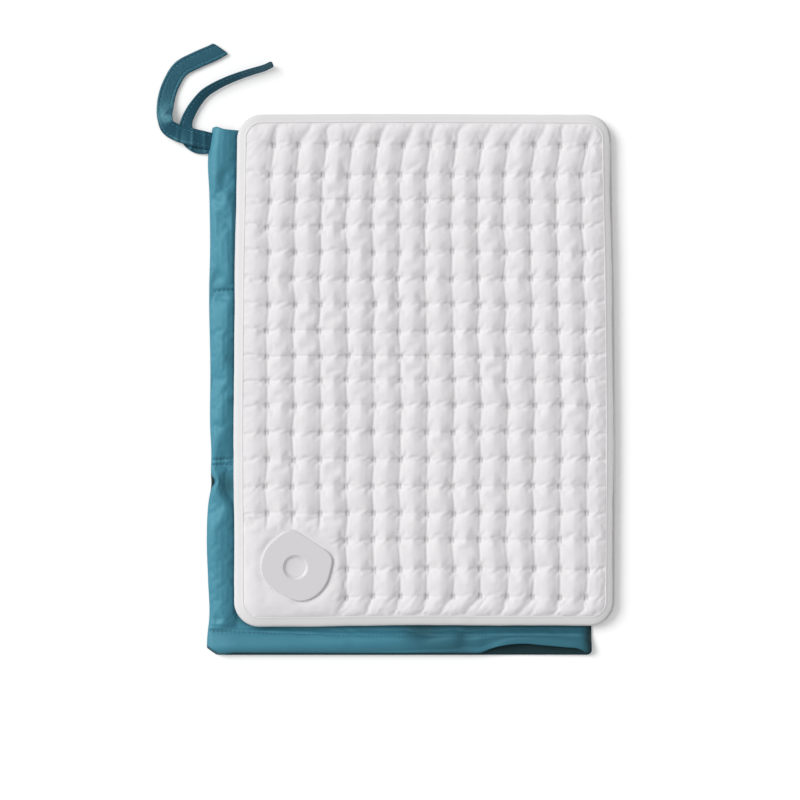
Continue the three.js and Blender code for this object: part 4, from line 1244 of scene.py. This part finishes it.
def hollowed(x, y):
    """How deep the hollows are."""
    depth = np.zeros(x.shape)
    for at_x, at_y, wide, long, deep in np.array(HOLLOWS) / 1000:
        depth += deep * bell(x - at_x, wide) * bell(y - at_y, long)
    return depth


def margin_height(x, y, cover):
    """How far the cover's upper layer is above the lower one before it settles: swollen in its margins."""
    mouth_share, corner_share, corner_width, seam_draw, seam_width = 1.15, 0.25, 0.024, 0.55, 0.009
    from_left, from_mouth = x - COVER_LOW.x, y - COVER_LOW.y
    at_left = swelling(from_left / cover.side_margin, course(LEFT_PEAK, y))
    at_mouth = mouth_share * swelling(from_mouth / cover.margin, course(MOUTH_PEAK, x))
    off_corner = np.sin(np.pi / 2 * np.clip(from_left / corner_width, 0, 1))
    at_mouth *= corner_share + (1 - corner_share) * off_corner
    in_hem = below_hem(x, y, HEM_BLEND)
    swollen = at_left * (1 - in_hem) + at_mouth * in_hem
    uneven = 1 + 0.18 * ripple(x, y, 0.047, 41) + 0.03 * ripple(x + 0.5 * y, y, 0.017, 42)
    drawn = seam_draw * seam_nearness(x, y, seam_width)
    return np.maximum(cover.puff * swollen * uneven * (1 - drawn) - hollowed(x, y), 0)


def mouth_opening(x):
    """How far the mouth gapes along the lower edge, from 0 to 1."""
    return np.clip(course(MOUTH_GAPE, x), 0, 1)


def gape_over(x, y):
    """How far the upper layer is lifted by the gape of the mouth, from 0 to 1."""
    reach = 0.020
    return mouth_opening(x) * fade(y - COVER_LOW.y, reach)


def hem_lift(x, y, cover):
    """How far the cover's edge stands up along the mouth, more and more from the lower left corner on."""
    level, fall, rise = 0.004, 0.012, 0.014
    near = fade(y - COVER_LOW.y - level, fall)
    return cover.hem_rest * near * ease((x - COVER_LOW.x - level) / rise)


def top_wander(x):
    """How far the cover's top edge is above its outline: drawn up to a point at its left corner."""
    point, point_at, point_width, below = 0.0026, 0.002, 0.006, 0.0010
    return point * bell(x - COVER_LOW.x - point_at, point_width) - below


def under_pad(x, y):
    """The highest that the cover may reach under the pad, and far above it elsewhere."""
    inside = edge_distance(x, y, PAD_LOW, PAD_HIGH, settings_of().quilt.corner)
    tape, back, clearance = PAD_LOW.z, BACK_LOW.z, 0.0003
    return np.interp(inside, (-0.003, -0.001, 0.008, 0.0173), (1.0, tape, tape, back)) - clearance


def front_layer(cover):
    """The cover's upper layer as a grid of points on its upper face, and the lines of that grid."""
    fine, step_x, step_y = 0.0021, 0.006, 0.0026
    across = runs_of_lines((COVER_LOW.x, COVER_LOW.x + FINE_MARGIN, COVER_HIGH.x), (fine, step_x))
    along = runs_of_lines((COVER_LOW.y, COVER_LOW.y + FINE_MARGIN, COVER_HIGH.y), (fine, step_y))
    x, y = np.meshgrid(across, along)
    from_left, from_mouth = x - COVER_LOW.x, y - COVER_LOW.y
    under = (from_left > cover.side_margin) & (from_mouth > cover.margin)
    flat = FRONT_BASE + cover.cloth
    height = np.where(under, flat, flat + margin_height(x, y, cover))
    gape = gape_over(x, y)
    height += (flat + cover.mouth_lift - height) * np.clip(1.4 * gape, 0, 1)
    hem_hold, held_depth, at_edge, at_seam, pressure = 0.9, 0.004, 0.0005, 0.002, 0.6
    in_hollow = np.clip(hollowed(x, y) / held_depth, 0, 1)
    holds = np.maximum(hem_hold * below_hem(x, y, HEM_BLEND), in_hollow)
    holds[under | (from_left < at_edge) | (from_mouth < at_edge) | (gape > 0.1)] = 1
    holds[seam_nearness(x, y, at_seam) > 0.5] = 1
    return settle(np.dstack([x, y, height]), holds, pressure, cover.slack), (across, along)


class PADQUILT_OT_cover(bpy.types.Operator):
    """Makes the satin cover: an upper layer with puffed margins and an open mouth, and a flat lower layer"""

    bl_idname = "padquilt.cover"
    bl_label = "Satin cover"

    def execute(self, context):
        cover = settings_of().cover
        satin = satin_finish("cover_satin", cover.colour, gloss=0.06, sheen=(0.48, 0.92, 1.0))
        thread = thread_finish("seam_thread", cover.thread_colour)
        upper = self.upper_layer(cover, satin)
        seams = self.seam_stitches(upper, cover, thread)
        lower = self.lower_layer(cover, satin)
        return {"FINISHED"}

    @staticmethod
    def cut_size():
        return COVER_HIGH.x - COVER_LOW.x, COVER_HIGH.y - COVER_LOW.y

    def upper_layer(self, cover, satin):
        settled, lines = front_layer(cover)
        # The lines are closest in the free margins and at the seams.
        fine, finest, step_x, step_y = 0.0009, 0.0006, 0.003, 0.0014
        across = runs_of_lines((COVER_LOW.x, COVER_LOW.x + FINE_MARGIN, COVER_HIGH.x), (fine, step_x))
        stops = (COVER_LOW.y, COVER_LOW.y + FINE_MARGIN, -0.0850, -0.0635, 0.0570, 0.0695, COVER_HIGH.y)
        along = runs_of_lines(stops, (fine, step_y, finest, step_y, finest, step_y))
        face = finer(settled, lines, (across, along))
        x, y = np.meshgrid(across, along)
        gape = gape_over(x, y)
        height = np.minimum(self.sewn(face[..., 2], x, y, cover), under_pad(x, y))
        height = self.rolled_down(height, x, y, gape, cover)
        plane = self.drawn_edges(face[..., 0], face[..., 1], across, along, cover)
        from_left, from_mouth = x - COVER_LOW.x, y - COVER_LOW.y
        hem_width, corner, rise, end, fall, notch_length = 0.006, 0.010, 0.012, 0.014, 0.010, 0.0042
        at_hem = fade(from_mouth, hem_width) * ease((from_left - corner) / rise)
        before_end = fade(x - COVER_HIGH.x + end, fall)
        plane[1] += cover.mouth_back * gape + cover.set_back * at_hem * before_end
        plane[0] += cover.notch * bell(y - cover.notch_at, notch_length) * fade(from_left, fall)
        face = np.stack([*plane, height], -1)
        under = face - np.array([0, 0, cover.cloth])
        # The upper face carries the painted shade worked out below; the under face is fully shaded.
        inner = (self.painted_shade(x, y, gape, cover), 1)
        layer = cloth_piece("cover_upper_layer", face, under, satin, inner=inner)
        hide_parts("cover_front")
        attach(layer, "cover")
        return layer

    @staticmethod
    def sewn(height, x, y, cover):
        """Heights with the doubled hem's step and the seams, which pucker between their stitches."""
        blend, hem_width, seam_width, gathered_width = 0.004, 0.0010, 0.0012, 0.0045
        beside_pad = ease((PAD_LOW.y + blend - y) / blend)
        height = height + cover.hem_step * below_hem(x, y, HEM_EDGE) * beside_pad
        pucker = 0.5 + 0.5 * np.cos(math.tau * x / (cover.stitch + cover.stitch_gap))
        at_seam = bell(y - hem_line(x) + cover.hem_seam, hem_width)
        height -= (0.0002 + 0.0006 * pucker) * at_seam * beside_pad
        height -= (0.0008 + 0.0009 * pucker) * seam_nearness(x, y, seam_width)
        return height + 0.0007 * ripple(x, 0.4 * y, 0.0046, 43) * seam_nearness(x, y, gathered_width)

    @staticmethod
    def rolled_down(height, x, y, gape, cover):
        """Heights with the edges rolled down to their seam, but not at the mouth and at the ribbons."""
        from_left, from_mouth = x - COVER_LOW.x, y - COVER_LOW.y
        edge = np.clip(np.minimum(from_left / cover.roll, from_mouth / cover.mouth_roll), 0, 1)
        rolled = np.maximum(np.sqrt(1 - (1 - edge) ** 2), np.clip(1.5 * gape, 0, 1))
        rolled *= np.sin(np.pi / 2 * np.clip((COVER_HIGH.x - x) / cover.end_roll, 0, 1))
        ties_share, ties_half, blend = 0.85, 0.009, 0.006
        from_ties = np.abs(y - (COVER_HIGH.y - settings_of().ties.from_top))
        rolled = np.maximum(rolled, ties_share * fade(from_ties - ties_half, blend))
        lifted = FRONT_BASE + cover.cloth + hem_lift(x, y, cover)
        return lifted + np.maximum(height - lifted, 0) * rolled

    @staticmethod
    def painted_shade(x, y, gape, cover):
        """How much painted shade darkens the satin at each point."""
        from_left, from_mouth, up = x - COVER_LOW.x, y - COVER_LOW.y, y - PAD_LOW.y
        from_corner = 0.0048 * (from_left / cover.tucked_x + from_mouth / cover.tucked_y - 1)
        from_pad = -edge_distance(x, y, PAD_LOW, PAD_HIGH, settings_of().quilt.corner)
        near_pad = fade(-0.006 - up, 0.012)
        at_mouth = ease((0.024 - up) / 0.022)
        shares = (
            # Painted shade on the doubled hem, the rims and the right end
            0.10 * below_hem(x, y, HEM_EDGE),
            0.75 * fade(np.minimum(from_mouth, from_corner), 0.0026) * (1 - np.clip(1.5 * gape, 0, 1)),
            0.90 * ease((x - COVER_HIGH.x + 0.0088) / 0.0065),
            # Painted shade on the right half of the mouth, and on two folds that slant across it
            0.34 * ease((x + 0.020) / 0.110) * at_mouth,
            0.56 * bell(x + 0.001 + 0.4 * up, 0.018) * (0.6 + 0.4 * near_pad) * at_mouth,
            0.36 * bell(x - 0.038 - 0.5 * up, 0.011) * at_mouth,
            # Painted shadow beside the pad's lower edge, and painted shade in the deepest hollow
            0.50 * fade(from_pad, 0.0045) * ease((0.014 - up) / 0.010),
            0.55 * bell(x + 0.1565, 0.0058) * bell(y + 0.0945, 0.0095),
        )
        return 1 - np.prod([1 - part for part in shares], axis=0)

    @staticmethod
    def drawn_edges(x, y, across, along, cover, tucked=1.0):
        """Grid points with the straying edges, round corners and the corner that is tucked under."""
        left_width, top_width, end_width, mouth_width = 0.018, 0.020, 0.030, 0.020
        x = x + course(LEFT_EDGE, along)[:, None] * fade(x - COVER_LOW.x, left_width)
        y = y + top_wander(across)[None, :] * fade(COVER_HIGH.y - y, top_width)
        from_left, from_mouth = x - COVER_LOW.x, y - COVER_LOW.y
        tucked_x, tucked_y = cover.tucked_x * tucked, cover.tucked_y * tucked
        cut_off = np.maximum(1 - from_left / tucked_x - from_mouth / tucked_y, 0) / 2
        x, y = x + cut_off * tucked_x, y + cut_off * tucked_y
        # Only the lower right corner is round, so the rectangle goes on past the other two sides.
        past = 0.05
        low, high = (COVER_LOW.x - past, COVER_LOW.y), (COVER_HIGH.x, COVER_HIGH.y + past)
        x, y = round_corners(x, y, low, high, cover.corner)
        slid_x = cover.spread * fade(COVER_HIGH.x - x, end_width)
        slid_y = cover.spread * fade(y - COVER_LOW.y, mouth_width)
        return [x + slid_x, y - slid_y]

    def seam_stitches(self, layer, cover, thread):
        tree = BVHTree.FromObject(layer, bpy.context.evaluated_depsgraph_get())
        start, hem_end, seam_end = COVER_LOW.x + 0.0015, COVER_HIGH.x - 0.004, PAD_LOW.x + 0.002
        x = np.linspace(start, hem_end, 600)
        lines = [np.column_stack([x, hem_line(x) - cover.hem_seam])]
        x = np.linspace(start, seam_end, 60)
        for seam in COVER_SEAMS:
            lines.append(np.column_stack([x, seam + SEAM_SLANT * (x - PAD_LOW.x)]))
        rows = []
        for number, line in enumerate(lines):
            hits = [tree.ray_cast(Vector((px, py, 0.1)), Vector((0, 0, -1))) for px, py in line]
            route = [tuple(hit[0]) for hit in hits if hit[0] is not None]
            ups = [tuple(hit[1]) for hit in hits if hit[0] is not None]
            rows.append(stitches(f"seam_row_{number + 1}", route, ups, cover, thread))
        seams = joined("cover_stitches", rows)
        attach(seams, "cover")
        return seams

    def lower_layer(self, cover, satin):
        near, tucked, hem_share, mouth_drop = 0.020, 0.80, 0.7, 0.7
        stops = (COVER_LOW.x, COVER_LOW.x + near, COVER_HIGH.x - near, COVER_HIGH.x)
        across = runs_of_lines(stops, (0.002, 0.012, 0.001))
        along = runs_of_lines((COVER_LOW.y, COVER_LOW.y + near, COVER_HIGH.y), (0.001, 0.003))
        x, y = np.meshgrid(across, along)
        plane = self.drawn_edges(x, y, across, along, cover, tucked)
        lift = hem_share * hem_lift(x, y, cover) * (1 - mouth_drop * mouth_opening(x))
        face = np.stack([*plane, cover.cloth + lift], -1)
        under = face - np.array([0, 0, cover.cloth])
        # The lower layer's upper face carries full painted shade, as it is seen only inside the mouth and at
        # the rim below the upper layer.
        layer = cloth_piece("cover_lower_layer", face, under, satin, inner=(1, 0))
        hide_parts("cover_back")
        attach(layer, "cover")
        return layer


def joined(name, pieces):
    """Several mesh objects made into one."""
    with bpy.context.temp_override(active_object=pieces[0], selected_editable_objects=pieces):
        bpy.ops.object.join()
    pieces[0].name = pieces[0].data.name = name
    return pieces[0]


# A ribbon's route: how far it goes left of and above its seam and how high, in millimetres, its roll in
# degrees, and how much of its width is folded under.
UPPER_ROUTE = (
    (-3.5, 0.4, 2.3, 0, 0), (0, 1.2, 2.6, 0, 0), (7.2, 2.7, 4.2, 0, 0), (14.3, 4.2, 5.2, -3, 0),
    (25.7, 7.5, 4.9, -14, 0), (34.2, 12.8, 4.4, -28, 0), (36.4, 20, 4.1, -25, 0), (36.5, 29, 2.6, -8, 0),
    (34.8, 39.7, 1.9, 0, 0), (31, 49.9, 1.7, 0, 0), (24.6, 60, 1.7, 0, 0), (11.2, 67.8, 1.7, 0, 0),
    (-3, 74.2, 1.7, 0, 0), (-8.6, 77.4, 1.7, 0, 0),
)
LOWER_ROUTE = (
    (-3.5, -2.2, 1.2, 0, 0), (0, -2, 0.8, 0, 0), (10.2, -1.6, 0.6, 0, 0), (17.8, 4, 0.6, 0, 0.12),
    (20.2, 13.2, 0.6, 2, 0.34), (15.9, 25.5, 0.8, 14, 0.44), (11, 32.8, 0.8, 26, 0.47),
    (4.8, 39.8, 0.8, 36, 0.48), (-5.2, 46.2, 0.8, 46, 0.48), (-20.9, 53.2, 0.8, 54, 0.48),
    (-35.3, 58.0, 0.8, 60, 0.48), (-44, 60.6, 0.8, 62, 0.48), (-51, 64.0, 0.8, 64, 0.48),
)


class PADQUILT_OT_ties(bpy.types.Operator):
    """Makes the two stitched ribbons along their routes"""

    bl_idname = "padquilt.ties"
    bl_label = "Tie ribbons"

    steps = 150

    # Where a ribbon is creased across, and how high, slanting and wide each crease is.
    creases = (0.0077, 0.0175, 0.0300)
    crease_height, crease_slant, crease_width = 0.0005, 0.0015, 0.0013

    def execute(self, context):
        chosen = settings_of()
        satin = satin_finish("tie_ribbon", chosen.ties.colour, gloss=0.24, sheen=(0.35, 0.90, 1.0))
        thread = thread_finish("sewing_thread", chosen.ties.thread_colour)
        for number, (name, route, node, slant) in enumerate((
            ("ribbon_upper", UPPER_ROUTE, "tie_upper", chosen.ties.slant),
            ("ribbon_lower", LOWER_ROUTE, "tie_lower", 0.0),
        )):
            self.ribbon(name, route, node, slant, number, chosen, satin, thread)
        return {"FINISHED"}

    def ribbon(self, name, route, node, slant, number, chosen, satin, thread):
        ties = chosen.ties
        seam = np.array([COVER_LOW.x - ties.seam_gap, COVER_HIGH.y - ties.from_top, 0])
        left, above, height, roll, fold = np.array(route).T
        places = seam + np.column_stack([-left, above, height]) / 1000
        line = curve_through(np.column_stack([places, np.radians(roll), fold]), self.steps)
        middle, roll, fold = line[:, :3], line[:, 3:4], np.maximum(line[:, 4:5], 0)
        along = unit(np.gradient(middle, axis=0))
        level = unit(np.cross((0, 0, 1), along))
        side = level * np.cos(roll) + np.cross(along, level) * np.sin(roll)
        up = np.cross(along, side)
        run = run_along(middle)
        half, thick = ties.width / 2, ties.thickness / 2
        blend, gathered, clearance = 0.012, 0.030, 0.0009
        edge_wave, edge_size, gather, gather_size = 0.00016, 0.0042, 0.00030, 0.0060
        folded = fold.max() > 0
        near_end = ease((run - (run[-1] - blend)) / blend)[:, None]
        near_seam = fade(run - gathered, blend)

        def laid(across):
            """A line along the ribbon, from one edge at -1 to the other at 1, its way out and its waves."""
            crease = half * (2 * fold - 1)
            past = np.maximum(crease - half * across, 0)
            turned = ties.fold_angle * np.minimum(past / ties.bend, 1)
            straight, radius = np.maximum(past - ties.bend, 0), ties.bend / ties.fold_angle
            outward = up * np.cos(turned) - side * np.sin(turned)
            aside = np.maximum(half * across, crease) - half * fold
            aside = aside - radius * np.sin(turned) - straight * np.cos(turned)
            below = radius * (1 - np.cos(turned)) + straight * np.sin(turned)
            rounding = 0.0024 * abs(2 * abs(across) - 1) ** 4 if folded else 0.0014 * abs(across) ** 8
            slip = -(across * half * math.tan(slant) + rounding) * near_end
            waves = edge_wave * abs(across) ** 3 * ripple(run, run * 0 + across, edge_size, 51 + number)
            waves += gather * near_seam * ripple(run + 0.002 * across, run * 0, gather_size, 53 + number)
            for crease_at in self.creases:
                apart = run + self.crease_slant * across - crease_at
                waves += self.crease_height * bell(apart, self.crease_width)
            return middle + side * aside - up * below + along * slip, outward, waves[:, None]

        lowest = np.min([laid(across)[0][:, 2] for across in np.linspace(-1, 1, 21)], axis=0)
        middle = middle + np.array([0, 0, 1]) * np.maximum(thick + clearance - lowest, 0)[:, None]
        upper, lower = [], []
        for across, thickness in self.profile():
            place, outward, waves = laid(across)
            upper.append(place + outward * (waves + thick * thickness))
            lower.append(place + outward * (waves - thick * thickness))
        piece = ring_piece(name, np.stack(upper[::-1] + lower, axis=1), satin, capped=True)
        rows, sunk, between_ends = [], 0.62, slice(3, -3)
        for across in (-1 + ties.hem / half, 1 - ties.hem / half):
            place, outward, waves = laid(across)
            for face in (1, -1):
                path = (place + outward * (waves + face * thick * sunk))[between_ends]
                ups = face * outward[between_ends]
                rows.append(stitches(f"{name}_row", path, ups, chosen.cover, thread))
        sewing = joined(f"{name}_stitches", rows)
        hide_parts(node)
        for made in (piece, sewing):
            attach(made, "cover")

    @staticmethod
    def profile():
        """Places across a ribbon and how thick it is at each, from one edge to the other."""
        hem = ((1, 0.15), (0.985, 0.75), (0.93, 1.0), (0.80, 0.95), (0.70, 0.9), (0.63, 0.55), (0.56, 0.75))
        middle = [(across, 0.8) for across in np.linspace(-0.48, 0.48, 13)]
        return [*((-across, thickness) for across, thickness in hem), *middle, *hem[::-1]]


# What stays of the solids

class PADQUILT_OT_inner(bpy.types.Operator):
    """Gives every solid that stays its finish"""

    bl_idname = "padquilt.inner"
    bl_label = "Inner parts"

    def execute(self, context):
        makers = {
            "wadding": fibre_finish,
            "carrier_cloth": fibre_finish,
            "cable_sheath": moulding_finish,
            "hub_plastic": moulding_finish,
            "silicone": rubber_finish,
            "component_black": moulding_finish,
            "board_laminate": moulding_finish,
            "contact_brass": metal_finish,
            "screw_steel": metal_finish,
        }
        colours = {slot["slot"]: slot["base_color"] for slot in frame["record"]["materials"]}
        made = {slot: maker(f"{slot}_inner", colours[slot]) for slot, maker in makers.items()}
        for part in frame["record"]["subparts"]:
            slot = part["material_slot"]
            if slot in made:
                solid = frame["nodes"][part["node"]]
                solid.data.materials.clear()
                solid.data.materials.append(made[slot])
        return {"FINISHED"}


# The stage

class PADQUILT_OT_stage(bpy.types.Operator):
    """Sets up the camera, the soft light and a white floor"""

    bl_idname = "padquilt.stage"
    bl_label = "Stage"

    def execute(self, context):
        stage = settings_of().stage
        self.camera(stage)
        self.key_light(stage)
        self.world(stage)
        self.floor()
        context.scene.view_settings.view_transform = "Standard"
        return {"FINISHED"}

    @staticmethod
    def camera(stage):
        data = bpy.data.cameras.new("camera")
        data.sensor_width = 36
        data.lens = data.sensor_width * stage.distance / stage.view
        data.clip_end = 20
        camera = bpy.data.objects.new("camera", data)
        back = Vector((0, -math.sin(stage.tilt), math.cos(stage.tilt)))
        camera.location = Vector((stage.aim_x, stage.aim_y, PAD_HIGH.z)) + back * stage.distance
        camera.rotation_euler = (stage.tilt, 0, 0)
        bpy.context.scene.collection.objects.link(camera)
        bpy.context.scene.camera = camera

    @staticmethod
    def key_light(stage):
        data = bpy.data.lights.new("key", "SUN")
        data.angle = stage.key_spread
        data.energy = math.pi * stage.key / math.sin(stage.key_rise)
        lamp = bpy.data.objects.new("key", data)
        heading, flat = stage.key_turn, math.cos(stage.key_rise)
        toward = Vector((math.cos(heading) * flat, math.sin(heading) * flat, math.sin(stage.key_rise)))
        lamp.location = toward
        lamp.rotation_euler = toward.to_track_quat("Z", "Y").to_euler()
        bpy.context.scene.collection.objects.link(lamp)

    @staticmethod
    def world(stage):
        white = (1, 1, 1, 1)
        room = Finish("soft_room", "worlds")
        through = room.node("ShaderNodeLightPath", output="Is Transmission Ray")
        seen = room.node("ShaderNodeLightPath", output="Is Camera Ray").maths("MAXIMUM", through)
        light = room.node("ShaderNodeBackground", inputs={"Color": white, "Strength": stage.fill})
        behind = room.node("ShaderNodeBackground", inputs={"Color": white, "Strength": 1.0})
        room.node_out(room.node("ShaderNodeMixShader", inputs={0: seen, 1: light, 2: behind}), "World")
        bpy.context.scene.world = room.made

    @staticmethod
    def floor():
        finish = Finish("white_floor")
        speck = finish.noise(0.4, 2)
        base = finish.mix((0.90, 0.90, 0.90, 1), (0.91, 0.91, 0.91, 1), speck)
        paper = finish.node("ShaderNodeBsdfDiffuse", inputs={"Color": base})
        seen = finish.node("ShaderNodeLightPath", output="Is Camera Ray")
        glow = finish.node("ShaderNodeEmission", inputs={"Color": (1, 1, 1, 1), "Strength": 0.16 * seen})
        finish.node_out(finish.node("ShaderNodeAddShader", inputs={0: paper, 1: glow}))
        half, level = 4.0, -0.0002
        corners = [(-half, -half, level), (half, -half, level), (half, half, level), (-half, half, level)]
        floor = piece_of("floor", corners, [(0, 1, 2, 3)], finish.made)


class PADQUILT_PT_panel(bpy.types.Panel):
    """Lists the pieces and their settings"""

    bl_idname = "PADQUILT_PT_panel"
    bl_label = "Heating pad"
    bl_space_type = "VIEW_3D"
    bl_region_type = "UI"
    bl_category = "Heating pad"

    def draw(self, context):
        for operator in OPERATORS:
            self.layout.operator(operator.bl_idname)
        for group in ("quilt", "hub", "cover", "ties", "stage"):
            box = self.layout.box()
            box.label(text=group.capitalize())
            chosen = getattr(context.scene.heating_pad, group)
            for name in chosen.__annotations__:
                box.prop(chosen, name)


OPERATORS = (
    PADQUILT_OT_stage,
    PADQUILT_OT_top,
    PADQUILT_OT_binding,
    PADQUILT_OT_underside,
    PADQUILT_OT_hub,
    PADQUILT_OT_cover,
    PADQUILT_OT_ties,
    PADQUILT_OT_inner,
)
CLASSES = (
    QuiltSettings,
    HubSettings,
    CoverSettings,
    TieSettings,
    StageSettings,
    HeatingPadSettings,
    *OPERATORS,
    PADQUILT_PT_panel,
)


def register():
    for item in CLASSES:
        bpy.utils.register_class(item)
    bpy.types.Scene.heating_pad = bpy.props.PointerProperty(type=HeatingPadSettings)


def unregister():
    del bpy.types.Scene.heating_pad
    for item in reversed(CLASSES):
        bpy.utils.unregister_class(item)


def main():
    register()
    bpy.ops.padquilt.stage()
    bpy.ops.padquilt.top()
    bpy.ops.padquilt.binding()
    bpy.ops.padquilt.underside()
    bpy.ops.padquilt.hub()
    bpy.ops.padquilt.cover()
    bpy.ops.padquilt.ties()
    bpy.ops.padquilt.inner()


if __name__ == "__main__":
    main()
